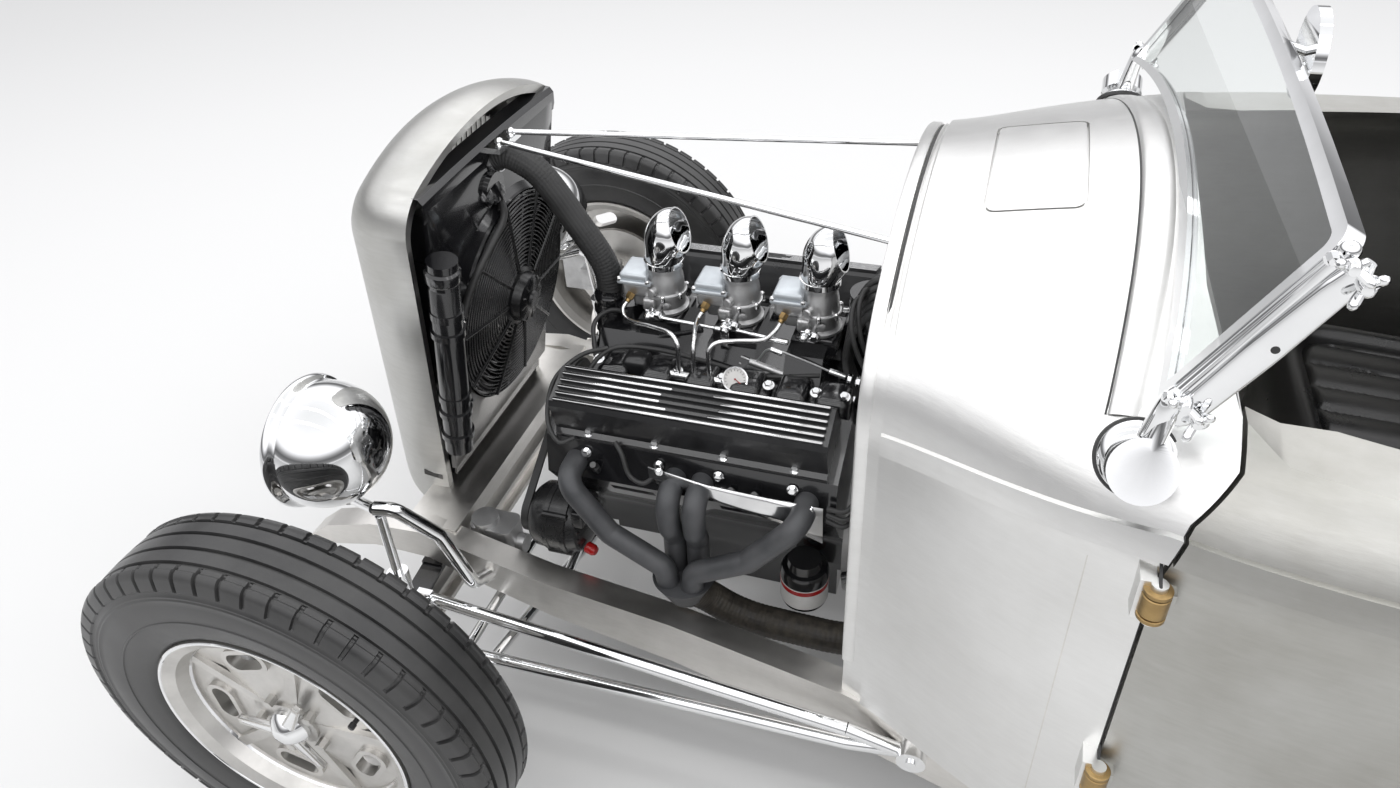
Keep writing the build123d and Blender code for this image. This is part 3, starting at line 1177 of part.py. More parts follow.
for number in range(10):
    blade = Pos(124, 0, 0) * Rot(24, 0, 0) * Box(130, 46, 3)
    fan = fan + fan_plane * Pos(0, 0, FAN_BACK + 22) * Rot(0, 0, 36 * number) * blade
fan = fan - radiator
save("cooling_fan", fan)

# Overflow tank on the left of the radiator, with two clamps
TANK_X = 246
tank_low = shell_point(TANK_X - 14, 240, -44)
tank_high = shell_point(TANK_X, 640, -44)
overflow = rod(tuple(tank_low), tuple(tank_high), 26)
for share in (0.25, 0.72):
    middle = tank_low + (tank_high - tank_low) * share
    next_point = tank_low + (tank_high - tank_low) * (share + 0.035)
    overflow = overflow + rod(tuple(middle), tuple(next_point), 29)
    height = 240 + 400 * share
    clamp = on_shell(TANK_X - 46, TANK_X - 16, height, height + 14, -40, -3)
    overflow = overflow + clamp
overflow = overflow - radiator - radiator_shell - fan
save("overflow_tank", overflow)

# Stay rods from the radiator to the firewall
ROD_HEIGHT = SHELL_HEIGHT - 84
stays = []
for name, side in SIDES:
    front = tuple(at(side * 22, 121, 1051))
    rear = tuple(at(side * 172, COWL_FRONT - 1, 1027))
    stay = rod(front, rear, 5)
    stays.append(stay + Pos(*front) * Sphere(8))
saddle = block(-40, 40, behind(64), behind(130), 1036, 1046)
saddle = saddle + block(-40, 40, behind(64), behind(70), 1000, 1040)
saddle = saddle + on_shell(-40, 40, CORE_HIGH + 88, CORE_HIGH + 120, -8, 6)
stay_rods = joined(stays) + saddle
save("stay_rods", stay_rods - radiator - radiator_shell - top_hose)

# Headlamps: deep chrome bowls with a rim, and their glass
LAMP_DEPTH = 148
lamps, lenses = [], []
for name, side in SIDES:
    bowl = [(0, -96), (34, -93), (66, -78), (92, -48), (103, -10), (LAMP_R - 2, 26), (LAMP_R, 30),
            (LAMP_R + 5, 34), (LAMP_R + 5, 46), (LAMP_R - 8, 52)]
    hollow_bowl = [(LAMP_R - 8, 36), (LAMP_R - 12, 10), (84, -42), (58, -70), (0, -86)]
    lamp_face = make_face(Polyline([(r, -a) for r, a in bowl + hollow_bowl], close=True))
    lamp = Pos(side * LAMP_X, behind(LAMP_Y), LAMP_Z) * revolve(lamp_face, Axis.Y)
    dome = [(0, 38), (LAMP_R - 8.5, 38), (LAMP_R - 8.5, 50), (LAMP_R - 20, 55), (LAMP_R - 38, 60),
            (48, 64), (24, 66), (0, 66.5)]
    glass_face = make_face(Polyline([(r, -a) for r, a in dome], close=True))
    lens = Pos(side * LAMP_X, behind(LAMP_Y), LAMP_Z) * revolve(glass_face, Axis.Y)
    lamps.append(lamp - parts["front_shocks"])
    lenses.append(lens)
save("headlamps", joined(lamps))
save("headlamp_lenses", joined(lenses))

# Steering column: shaft through the firewall, jacket, and a three-spoke wheel
WHEEL_X = 300
WHEEL_DISTANCE = 1560
WHEEL_Z = 905
STEERING_WHEEL_R = 178
GRIP_R = 13
column_foot = Vector(WHEEL_X, behind(COWL_FRONT + 60), 505)
column_head = Vector(WHEEL_X, behind(WHEEL_DISTANCE), WHEEL_Z)
column_line = (column_head - column_foot).normalized()
column_plane = Plane(origin=column_head, x_dir=(1, 0, 0), z_dir=column_line)
steering_column = rod(tuple(column_foot), tuple(column_head), 10)
jacket_start = column_foot + column_line * 120
jacket_end = column_head - column_line * 60
steering_column = steering_column + rod(tuple(jacket_start), tuple(jacket_end), 22)
steering_column = steering_column + column_plane * Torus(STEERING_WHEEL_R, GRIP_R)
steering_column = steering_column + column_plane * Pos(0, 0, -8) * Cylinder(34, 36)
for angle in (90, 210, 330):
    spoke = Pos(STEERING_WHEEL_R / 2, 0, 0) * Box(STEERING_WHEEL_R, 24, 5)
    steering_column = steering_column + column_plane * Rot(0, 0, angle) * spoke
shaft_front = column_foot - column_line * 96
steering_column = steering_column + rod(tuple(shaft_front), tuple(column_foot), 10)
cowl = cowl - rod(tuple(shaft_front), tuple(column_foot), 12)
save("steering_column", steering_column - floor)

# Dashboard: a panel under the rear edge of the cowl, with round gauge rims
DASH_DISTANCE = 1140
DASH_THICK = 24
DASH_LOW = 880
GAUGES = ((-420, 40), (-330, 40), (-120, 52), (0, 52), (120, 52), (300, 62), (420, 40))
dashboard = room & block(-900, 900, behind(DASH_DISTANCE), behind(DASH_DISTANCE + DASH_THICK),
                         DASH_LOW, 1250)
gauge_face = behind(DASH_DISTANCE + DASH_THICK)
for x, radius in GAUGES:
    bezel = Cylinder(radius, 10) - Pos(0, 0, -2) * Cylinder(radius - 6, 12)
    dashboard = dashboard + Pos(x, gauge_face + 4, 978) * Rot(-90, 0, 0) * bezel
save("dashboard", dashboard - parts["steering_column"] - cowl)

# Windscreen: a slim frame in a plane that leans back, its glass, two posts and a mirror.
# In this frame X is across and Y runs up the glass.
screen_lean = math.radians(SCREEN_LEAN)
screen_plane = Plane(origin=(0, behind(SCREEN_BASE), SCREEN_BASE_Z), x_dir=(1, 0, 0),
                     z_dir=(0, -math.cos(screen_lean), math.sin(screen_lean)))
SCREEN_HEIGHT = (SCREEN_TOP_Z - SCREEN_BASE_Z) / math.cos(screen_lean)
SCREEN_CROWN = 68
FRAME_WIDTH = 15
FRAME_DEPTH = 20


def screen_outline(inset):
    """Outline of the windscreen, arched along the cowl below and nearly straight on top."""
    half = SCREEN_HALF_WIDTH - inset
    top = SCREEN_HEIGHT - inset
    edges = [
        ThreePointArc((-half, inset), (0, SCREEN_CROWN + inset), (half, inset)),
        Line((half, inset), (half, top - 12)),
        ThreePointArc((half, top - 12), (0, top), (-half, top - 12)),
        Line((-half, top - 12), (-half, inset)),
    ]
    face = make_face(edges)
    high = [v for v in face.vertices() if v.Y > SCREEN_HEIGHT / 2]
    return fillet(high, 22 - inset / 2)


ring = extrude(screen_plane * screen_outline(0), FRAME_DEPTH / 2, both=True)
ring = ring - extrude(screen_plane * screen_outline(FRAME_WIDTH), FRAME_DEPTH, both=True)
glass = extrude(screen_plane * screen_outline(FRAME_WIDTH - 4), GLASS / 2, both=True)
screen_frame = ring - glass
POST_R = 9
POST_FOOT = (554, 1138, 1004)
ESCUTCHEON_R = 36
for name, side in SIDES:
    foot = at(side * POST_FOOT[0], POST_FOOT[1], POST_FOOT[2])
    head = screen_plane.from_local_coords((side * (SCREEN_HALF_WIDTH + 3), SCREEN_HEIGHT - 24, 0))
    knee = screen_plane.from_local_coords((side * (SCREEN_HALF_WIDTH + 5), 16, 0))
    screen_frame = screen_frame + rod(tuple(knee), tuple(head), POST_R)
    screen_frame = screen_frame + rod(tuple(foot), tuple(knee), POST_R + 1)
    screen_frame = screen_frame + Pos(*tuple(knee)) * Sphere(POST_R + 2)
    screen_frame = screen_frame + Pos(*tuple(head)) * Sphere(POST_R + 1)
    slope = Plane(origin=foot, z_dir=(side * 0.86, 0, 0.51))
    screen_frame = screen_frame + slope * Pos(0, 0, -2) * Cylinder(ESCUTCHEON_R, 30)
mirror_at = at(0, 1303, 1268)
stem_top = screen_plane.from_local_coords((0, SCREEN_HEIGHT - 6, -4))
screen_frame = screen_frame + rod(tuple(stem_top), tuple(mirror_at), 6)
MIRROR_R = 58
screen_frame = screen_frame + Pos(*tuple(mirror_at)) * Rot(90, 0, 0) * Cylinder(MIRROR_R, 14)
screen_frame = screen_frame - skin
save("windscreen_frame", screen_frame)
save("windscreen_glass", glass - skin - screen_frame)

# Vent in the cowl's top: a groove round its flap
VENT_FRONT = 932
VENT_REAR = 1066
VENT_HALF_WIDTH = 150
GROOVE = 4
vent_middle = behind((VENT_FRONT + VENT_REAR) / 2)
vent_plan = Rectangle(2 * VENT_HALF_WIDTH, VENT_REAR - VENT_FRONT)
flap_plan = Rectangle(2 * VENT_HALF_WIDTH - 2 * GROOVE, VENT_REAR - VENT_FRONT - 2 * GROOVE)
vent_ring = fillet(vent_plan.vertices(), 18) - fillet(flap_plan.vertices(), 18 - GROOVE)
groove = (Pos(0, vent_middle, 950) * extrude(vent_ring, 300)) - stepped
cowl = cowl - groove

# Seat: one cushion and one backrest across the cockpit
SEAT_HALF = 520
SEAT_FRONT = 1500
SEAT_TOP = 572
BACK_TOP = 930
seat_base = side_profile(
    (
        (SEAT_FRONT, FLOOR_Z + FLOOR),
        (SEAT_FRONT - 16, SEAT_TOP - 40),
        (SEAT_FRONT + 20, SEAT_TOP),
        (2010, SEAT_TOP - 40),
        (2010, FLOOR_Z + FLOOR),
    ),
    SEAT_HALF,
)
seat_base = seat_base - tunnel(TUNNEL_SKIN) - floor
save("seat_base", seat_base)
seat_back = side_profile(
    (
        (1946, SEAT_TOP - 30),
        (2024, BACK_TOP - 26),
        (2048, BACK_TOP),
        (2128, BACK_TOP - 6),
        (2150, BACK_TOP - 60),
        (2100, 420),
        (2014, 420),
        (2014, SEAT_TOP - 36),
    ),
    SEAT_HALF,
)
save("seat_back", seat_back - floor)

# Fuel tank under the trunk floor, with its filler neck stub
TANK_FRONT = 2872
TANK_REAR = 3072
TANK_HALF = 300
TANK_LOW = 388
fuel_tank = block(-TANK_HALF, TANK_HALF, behind(TANK_FRONT), behind(TANK_REAR), TANK_LOW, TRUNK_Z)
fuel_tank = fillet(fuel_tank.edges().filter_by(Axis.X), 24)
for x in (-180, 180):
    strap = block(x - 16, x + 16, behind(TANK_FRONT - 3), behind(TANK_REAR + 3), TANK_LOW - 3, TRUNK_Z)
    strap = strap - block(x - 20, x + 20, behind(TANK_FRONT), behind(TANK_REAR), TANK_LOW, TRUNK_Z + 5)
    fuel_tank = fuel_tank + strap
save("fuel_tank", fuel_tank - floor)

# Tail lamps: round pods half sunk in the tail's upper corners
TAIL_LAMP_R = 36
tail_pods = []
for name, side in SIDES:
    pod = Pos(side * 370, behind(3190), 742) * Rot(90, 0, 0) * Cylinder(TAIL_LAMP_R, 120)
    pod = pod + Pos(side * 370, behind(3130), 742) * Sphere(TAIL_LAMP_R)
    tail_pods.append(pod - skin - bead)
save("tail_lamps", joined(tail_pods))


save("cowl", cowl)
save("body_tub", largest(tub))
save("door_left", doors["left"])
save("door_right", doors["right"])
save("deck_lid", deck_lid)
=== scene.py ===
# %% [markdown]
# # A bare-metal street rod roadster
# The CAD model gives every rigid piece its true size and place. This lesson loads it as a fixed
# frame, sets up the camera and lamps, gives each piece its finish, and adds what CAD leaves
# plain: tread, hoses, wires, wire guards, stitching and small fittings.

# %% Load the frame
import math

import bmesh
import bpy
import numpy as np
from mathutils import Matrix, Vector
from mathutils.bvhtree import BVHTree


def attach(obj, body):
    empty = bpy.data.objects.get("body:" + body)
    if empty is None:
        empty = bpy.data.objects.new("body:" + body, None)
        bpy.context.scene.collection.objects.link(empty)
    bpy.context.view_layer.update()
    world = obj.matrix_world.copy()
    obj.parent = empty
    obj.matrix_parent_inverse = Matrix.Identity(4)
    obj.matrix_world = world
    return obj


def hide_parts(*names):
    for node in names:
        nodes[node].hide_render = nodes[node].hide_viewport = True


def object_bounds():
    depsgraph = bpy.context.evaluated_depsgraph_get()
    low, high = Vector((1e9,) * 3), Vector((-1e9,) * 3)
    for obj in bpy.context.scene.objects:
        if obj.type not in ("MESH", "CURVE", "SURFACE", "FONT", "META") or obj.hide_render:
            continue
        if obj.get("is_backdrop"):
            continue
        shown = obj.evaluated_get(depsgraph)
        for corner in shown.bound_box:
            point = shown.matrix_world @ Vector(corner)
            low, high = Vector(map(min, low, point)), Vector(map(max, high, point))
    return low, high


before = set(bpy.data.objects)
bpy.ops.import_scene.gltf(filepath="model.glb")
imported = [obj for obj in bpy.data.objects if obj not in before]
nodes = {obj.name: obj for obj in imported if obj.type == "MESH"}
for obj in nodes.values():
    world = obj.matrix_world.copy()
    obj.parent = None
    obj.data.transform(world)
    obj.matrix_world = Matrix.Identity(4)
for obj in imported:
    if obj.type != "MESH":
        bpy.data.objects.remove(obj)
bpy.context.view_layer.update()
FRONT_AXLE_Y = -1.4635

# %% [markdown]
# ## Camera
# The photograph looks down over the left front corner of the car. A camera in Blender looks
# along its own -Z, so the columns of its matrix are the picture's right, the picture's up and
# the direction back towards the eye.

# %% Camera
EYE = (1.4240, -0.4986, 1.7312)
PICTURE_RIGHT = (-0.3050, 0.9512, -0.0460)
PICTURE_UP = (-0.5725, -0.1446, 0.8071)
TOWARDS_EYE = (0.7610, 0.2725, 0.5887)
FOCAL_SHARE = 992.5 / 1400
SHIFT_UP = -0.0232

camera_data = bpy.data.cameras.new("camera")
camera_data.sensor_width = 36.0
camera_data.lens = 36.0 * FOCAL_SHARE
camera_data.shift_y = SHIFT_UP
camera_data.clip_start = 0.05
camera = bpy.data.objects.new("camera", camera_data)
turn = np.eye(4)
turn[:3, 0], turn[:3, 1], turn[:3, 2], turn[:3, 3] = PICTURE_RIGHT, PICTURE_UP, TOWARDS_EYE, EYE
camera.matrix_world = Matrix(turn.tolist())
bpy.context.scene.collection.objects.link(camera)
bpy.context.scene.camera = camera
bpy.context.scene.view_settings.view_transform = "Standard"

# %% [markdown]
# ## Light
# A show hall has a white floor and a bright ceiling with darker gaps. Polished metal only looks
# like metal when it has both to reflect, so the world is a soft gradient from a white horizon to
# a bright ceiling with a dark band between, and five long lamps hang above like rows of tubes.

# %% World and lamps
world = bpy.data.worlds.new("hall")
bpy.context.scene.world = world
world.use_nodes = True
tree = world.node_tree
tree.nodes.clear()
direction = tree.nodes.new("ShaderNodeTexCoord")
split = tree.nodes.new("ShaderNodeSeparateXYZ")
ramp = tree.nodes.new("ShaderNodeValToRGB")
background = tree.nodes.new("ShaderNodeBackground")
output = tree.nodes.new("ShaderNodeOutputWorld")
stops = ramp.color_ramp.elements
stops[0].position, stops[0].color = 0.0, (0.80, 0.80, 0.80, 1)
stops[1].position, stops[1].color = 1.0, (1.05, 1.06, 1.07, 1)
HALL_BANDS = ((0.50, 0.85), (0.52, 0.28), (0.57, 0.15), (0.61, 0.42), (0.67, 1.17), (0.78, 1.42),
              (0.90, 1.20))
for place, level in HALL_BANDS:
    stop = stops.new(place)
    stop.color = (level, level, level * 1.02, 1)
lift = tree.nodes.new("ShaderNodeMapRange")
lift.inputs["From Min"].default_value = -1.0
tree.links.new(direction.outputs["Generated"], split.inputs[0])
tree.links.new(split.outputs["Z"], lift.inputs["Value"])
tree.links.new(lift.outputs["Result"], ramp.inputs["Fac"])
tree.links.new(ramp.outputs["Color"], background.inputs["Color"])
tree.links.new(background.outputs["Background"], output.inputs["Surface"])
background.inputs["Strength"].default_value = 1.0


def lamp(name, place, size, turn_degrees, power):
    """Rectangular lamp, turned from straight down by angles about X and Y."""
    data = bpy.data.lights.new(name, "AREA")
    data.shape = "RECTANGLE"
    data.size, data.size_y = size
    data.energy = power
    lit = bpy.data.objects.new(name, data)
    lit.location = place
    lit.rotation_euler = [math.radians(a) for a in turn_degrees]
    bpy.context.scene.collection.objects.link(lit)


LAMP_ROWS = ((3.0, 3.4, 38), (1.5, 3.9, 18), (0.0, 4.1, 0), (-1.5, 3.9, -18), (-3.0, 3.4, -38))
LAMP_SIZE = (0.22, 7.0)
LAMP_POWER = 19
for number, (x, height, lean) in enumerate(LAMP_ROWS):
    lamp(f"ceiling_row_{number}", (x, -0.2, height), LAMP_SIZE, (0, lean, 0), LAMP_POWER)
print(len(LAMP_ROWS), "rows of lamps,", LAMP_POWER, "W each")

# %% [markdown]
# ## Floor
# The hall's floor is pale glossy paint. It is part of the stage, not of the car.

# %% Floor
floor_mesh = bpy.data.meshes.new("floor_stage")
REACH = 30.0
floor_mesh.from_pydata([(-REACH, -REACH, 0), (REACH, -REACH, 0), (REACH, REACH, 0), (-REACH, REACH, 0)],
                       [], [(0, 1, 2, 3)])
stage = bpy.data.objects.new("floor_stage", floor_mesh)
bpy.context.scene.collection.objects.link(stage)
stage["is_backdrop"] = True
paint = bpy.data.materials.new("floor_paint")
paint.use_nodes = True
shader = paint.node_tree.nodes["Principled BSDF"]
shader.inputs["Base Color"].default_value = (0.66, 0.66, 0.655, 1)
shader.inputs["Emission Color"].default_value = (1, 1, 1, 1)
shader.inputs["Emission Strength"].default_value = 0.05
shader.inputs["Roughness"].default_value = 0.22
shader.inputs["Specular IOR Level"].default_value = 0.35
floor_mesh.materials.append(paint)
print("floor", 2 * REACH, "m wide")

# %% [markdown]
# ## Shared effects as node groups
# Three effects come back on many finishes. `cloudy` breaks up a flat colour in soft patches,
# `brushed` gives the fine one-way lines of sanded metal, and `grain` is the pebbled skin of
# leather, rubber and crackle paint. Each is one group with its own sizes as inputs.


# %% Node groups
def new_group(name, inputs, outputs):
    """Empty shader group with named sockets: (name, default) inputs and (name, kind) outputs."""
    group = bpy.data.node_groups.new(name, "ShaderNodeTree")
    for label, value in inputs:
        socket = group.interface.new_socket(label, in_out="INPUT", socket_type="NodeSocketFloat")
        socket.default_value = value
    for label, kind in outputs:
        group.interface.new_socket(label, in_out="OUTPUT", socket_type=kind)
    return group, group.nodes.new("NodeGroupInput"), group.nodes.new("NodeGroupOutput")


def scaled_position(group, stretch):
    """Object coordinates stretched by (x, y, z), in metres."""
    place = group.nodes.new("ShaderNodeTexCoord")
    mapping = group.nodes.new("ShaderNodeMapping")
    mapping.inputs["Scale"].default_value = stretch
    group.links.new(place.outputs["Object"], mapping.inputs["Vector"])
    return mapping.outputs["Vector"]


def noise_node(group, vector, size, detail, rough):
    """Fractal noise of a vector, its scale taken from a socket."""
    noise = group.nodes.new("ShaderNodeTexNoise")
    noise.inputs["Detail"].default_value = detail
    noise.inputs["Roughness"].default_value = rough
    group.links.new(size, noise.inputs["Scale"])
    group.links.new(vector, noise.inputs["Vector"])
    return noise.outputs["Fac"]


cloudy, ins, outs = new_group("cloudy", [("Size", 5.0)], [("Mask", "NodeSocketFloat")])
soft = noise_node(cloudy, scaled_position(cloudy, (1, 1, 1)), ins.outputs["Size"], 5.0, 0.6)
reach = cloudy.nodes.new("ShaderNodeMapRange")
reach.inputs["From Min"].default_value, reach.inputs["From Max"].default_value = 0.34, 0.68
cloudy.links.new(soft, reach.inputs["Value"])
cloudy.links.new(reach.outputs["Result"], outs.inputs["Mask"])

brushed, ins, outs = new_group("brushed", [("Size", 60.0)], [("Lines", "NodeSocketFloat")])
fine = noise_node(brushed, scaled_position(brushed, (0.5, 0.3, 2.4)), ins.outputs["Size"], 6.0, 0.7)
brushed.links.new(fine, outs.inputs["Lines"])

grain, ins, outs = new_group("grain", [("Size", 400.0)], [("Height", "NodeSocketFloat")])
pebble = grain.nodes.new("ShaderNodeTexVoronoi")
pebble.feature = "SMOOTH_F1"
grain.links.new(scaled_position(grain, (1, 1, 1)), pebble.inputs["Vector"])
grain.links.new(ins.outputs["Size"], pebble.inputs["Scale"])
grain.links.new(pebble.outputs["Distance"], outs.inputs["Height"])
print("node groups:", [group.name for group in bpy.data.node_groups])

# %% [markdown]
# ## Finishes
# Every finish is a Principled shader whose colour and roughness move between two values under
# a cloudy mask, with a bump from brushing or grain. One function builds them all from a row of
# a table, so that a reader sees at a glance how bare sheet differs from chrome or cast alloy.


# %% Finish builder
def finish(name, colour, second, metallic, rough, patch=5.0, lines=0.0, pebbles=(400.0, 0.0), coat=0.0):
    """Material between two colours and two roughness values under a cloudy mask."""
    material = bpy.data.materials.new(name)
    material.use_nodes = True
    tree = material.node_tree
    shader = tree.nodes["Principled BSDF"]
    shader.inputs["Metallic"].default_value = metallic
    shader.inputs["Coat Weight"].default_value = coat
    shader.inputs["Coat Roughness"].default_value = 0.05
    mask = tree.nodes.new("ShaderNodeGroup")
    mask.node_tree = cloudy
    mask.inputs["Size"].default_value = patch
    mix = tree.nodes.new("ShaderNodeMix")
    mix.data_type = "RGBA"
    mix.inputs[6].default_value = (*colour, 1)
    mix.inputs[7].default_value = (*second, 1)
    tree.links.new(mask.outputs["Mask"], mix.inputs[0])
    tree.links.new(mix.outputs[2], shader.inputs["Base Color"])
    gloss = tree.nodes.new("ShaderNodeMapRange")
    gloss.inputs["To Min"].default_value, gloss.inputs["To Max"].default_value = rough
    height = None
    if lines:
        sanded = tree.nodes.new("ShaderNodeGroup")
        sanded.node_tree = brushed
        tree.links.new(sanded.outputs["Lines"], gloss.inputs["Value"])
        height, depth = sanded.outputs["Lines"], lines
        streaks = tree.nodes.new("ShaderNodeMix")
        streaks.inputs[0].default_value = 0.45
        tree.links.new(mask.outputs["Mask"], streaks.inputs[2])
        tree.links.new(sanded.outputs["Lines"], streaks.inputs[3])
        tree.links.new(streaks.outputs[0], mix.inputs[0])
    else:
        tree.links.new(mask.outputs["Mask"], gloss.inputs["Value"])
    if pebbles[1]:
        pebbled = tree.nodes.new("ShaderNodeGroup")
        pebbled.node_tree = grain
        pebbled.inputs["Size"].default_value = pebbles[0]
        height, depth = pebbled.outputs["Height"], pebbles[1]
    tree.links.new(gloss.outputs["Result"], shader.inputs["Roughness"])
    if height is not None:
        bump = tree.nodes.new("ShaderNodeBump")
        bump.inputs["Strength"].default_value = 0.5
        bump.inputs["Distance"].default_value = depth
        tree.links.new(height, bump.inputs["Height"])
        tree.links.new(bump.outputs["Normal"], shader.inputs["Normal"])
    return material


# %% [markdown]
# ## The finishes
# Each row gives a colour, the colour of its faint patches, how metallic it is and its least and
# greatest roughness. Bare sheet, cowl, frame and doors are lit and shaded copies of one steel: the
# cowl and frame are painted brighter than bare steel, as painted light, and the doors are darker;
# each is sanded a little differently.

# %% Table of finishes
sheet_steel = finish("sheet_steel", (0.60, 0.60, 0.59), (0.42, 0.415, 0.39), 1.0, (0.28, 0.46), 3.2, 0.0004)
# Cowl steel carries painted light: its colours are brighter than bare steel reflects, standing in for the
# hall's lamps shining on the cowl.
cowl_steel_painted_light = finish("cowl_steel_painted_light", (0.86, 0.86, 0.85), (0.70, 0.695, 0.68), 1.0, (0.25, 0.42), 3.6, 0.0004)
door_steel = finish("door_steel", (0.53, 0.53, 0.51), (0.37, 0.36, 0.33), 1.0, (0.30, 0.48), 4.2, 0.0004)
# Frame steel carries painted light: brighter than bare steel, to make up for the shaded floor that the rails
# reflect.
frame_steel_painted_light = finish("frame_steel_painted_light", (0.84, 0.82, 0.79), (0.60, 0.585, 0.555), 1.0, (0.24, 0.42), 7.0, 0.0003)
wheel_alloy = finish("wheel_alloy", (0.70, 0.685, 0.66), (0.56, 0.55, 0.53), 1.0, (0.30, 0.46), 9.0,
                     pebbles=(1400.0, 0.0001))
chrome = finish("chrome", (0.88, 0.885, 0.89), (0.82, 0.825, 0.83), 1.0, (0.025, 0.05), 12.0)
gloss_black = finish("gloss_black", (0.006, 0.006, 0.007), (0.012, 0.012, 0.013), 0.0, (0.14, 0.26), 9.0,
                     coat=0.6)
satin_black = finish("satin_black", (0.007, 0.007, 0.008), (0.014, 0.014, 0.015), 0.0, (0.26, 0.40), 12.0,
                     pebbles=(900.0, 0.00012), coat=0.3)
plastic_black = finish("plastic_black", (0.009, 0.009, 0.010), (0.016, 0.016, 0.016), 0.0, (0.20, 0.32), 20.0,
                       pebbles=(1500.0, 0.0001))
header_coat = finish("header_coat", (0.060, 0.062, 0.066), (0.095, 0.096, 0.10), 0.35, (0.42, 0.56), 14.0,
                     pebbles=(1200.0, 0.0002))
cast_alloy = finish("cast_alloy", (0.60, 0.60, 0.60), (0.44, 0.44, 0.44), 0.9, (0.32, 0.5), 18.0,
                    pebbles=(700.0, 0.0003))
lid_alloy = finish("lid_alloy", (0.60, 0.64, 0.67), (0.50, 0.53, 0.56), 0.55, (0.34, 0.46), 22.0)
bright_alloy = finish("bright_alloy", (0.80, 0.80, 0.80), (0.66, 0.66, 0.665), 1.0, (0.10, 0.26), 10.0)
tyre_rubber = finish("tyre_rubber", (0.026, 0.026, 0.0265), (0.050, 0.0495, 0.049), 0.0, (0.30, 0.46), 9.0,
                     pebbles=(900.0, 0.00015))
hose_rubber = finish("hose_rubber", (0.020, 0.020, 0.020), (0.036, 0.036, 0.036), 0.0, (0.42, 0.6), 30.0,
                     pebbles=(600.0, 0.0002))
wrap_cloth = finish("wrap_cloth", (0.030, 0.026, 0.022), (0.075, 0.066, 0.052), 0.0, (0.45, 0.7), 60.0,
                    pebbles=(500.0, 0.0004))
leather = finish("leather", (0.007, 0.007, 0.0075), (0.014, 0.0135, 0.013), 0.0, (0.26, 0.40), 8.0,
                 pebbles=(420.0, 0.0004))
brass = finish("brass", (0.42, 0.29, 0.13), (0.30, 0.20, 0.09), 1.0, (0.28, 0.45), 30.0)
red_plastic = finish("red_plastic", (0.45, 0.012, 0.012), (0.30, 0.01, 0.01), 0.0, (0.15, 0.25), 20.0)
white_enamel = finish("white_enamel", (0.72, 0.71, 0.69), (0.62, 0.61, 0.59), 0.0, (0.16, 0.28), 20.0)

clear_glass = bpy.data.materials.new("clear_glass")
clear_glass.use_nodes = True
shader = clear_glass.node_tree.nodes["Principled BSDF"]
shader.inputs["Base Color"].default_value = (0.93, 0.96, 0.95, 1)
shader.inputs["Roughness"].default_value = 0.0
shader.inputs["Transmission Weight"].default_value = 1.0
shader.inputs["IOR"].default_value = 1.45
print(len(bpy.data.materials), "materials")

# %% [markdown]
# ## CAD nodes, smoothed
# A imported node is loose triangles. A small geometry-nodes modifier merges their corners and
# shades them smooth, except across edges sharper than a set angle, so round metal looks round.
# The mesh itself isn't touched.


# %% Smoothing modifier
NODE_MERGE = 0.00002


def smoothing_group(angle_degrees):
    """Merge, shade smooth, and keep edges sharper than the angle."""
    group = bpy.data.node_groups.new(f"smooth_{angle_degrees}", "GeometryNodeTree")
    group.interface.new_socket("Geometry", in_out="INPUT", socket_type="NodeSocketGeometry")
    group.interface.new_socket("Geometry", in_out="OUTPUT", socket_type="NodeSocketGeometry")
    start, end = group.nodes.new("NodeGroupInput"), group.nodes.new("NodeGroupOutput")
    merge = group.nodes.new("GeometryNodeMergeByDistance")
    merge.inputs["Distance"].default_value = NODE_MERGE
    faces = group.nodes.new("GeometryNodeSetShadeSmooth")
    edges = group.nodes.new("GeometryNodeSetShadeSmooth")
    edges.domain = "EDGE"
    edges.inputs["Shade Smooth"].default_value = False
    bend = group.nodes.new("GeometryNodeInputMeshEdgeAngle")
    sharp = group.nodes.new("FunctionNodeCompare")
    sharp.operation = "GREATER_THAN"
    sharp.inputs["B"].default_value = math.radians(angle_degrees)
    group.links.new(start.outputs[0], merge.inputs["Geometry"])
    group.links.new(merge.outputs["Geometry"], faces.inputs["Geometry"])
    group.links.new(faces.outputs["Geometry"], edges.inputs["Geometry"])
    group.links.new(bend.outputs["Unsigned Angle"], sharp.inputs["A"])
    group.links.new(sharp.outputs["Result"], edges.inputs["Selection"])
    group.links.new(edges.outputs["Geometry"], end.inputs[0])
    return group


smooth_30 = smoothing_group(30)


def dress(material, *names):
    """Gives CAD nodes a material and smooth shading."""
    for name in names:
        node = nodes[name]
        node.data.materials.clear()
        node.data.materials.append(material)
        modifier = node.modifiers.new("smooth", "NODES")
        modifier.node_group = smooth_30


# %% [markdown]
# ## Dressing the CAD nodes
# Every rigid piece now gets its finish. The car is bare metal outside, bright plated in its
# running gear and black round the engine.

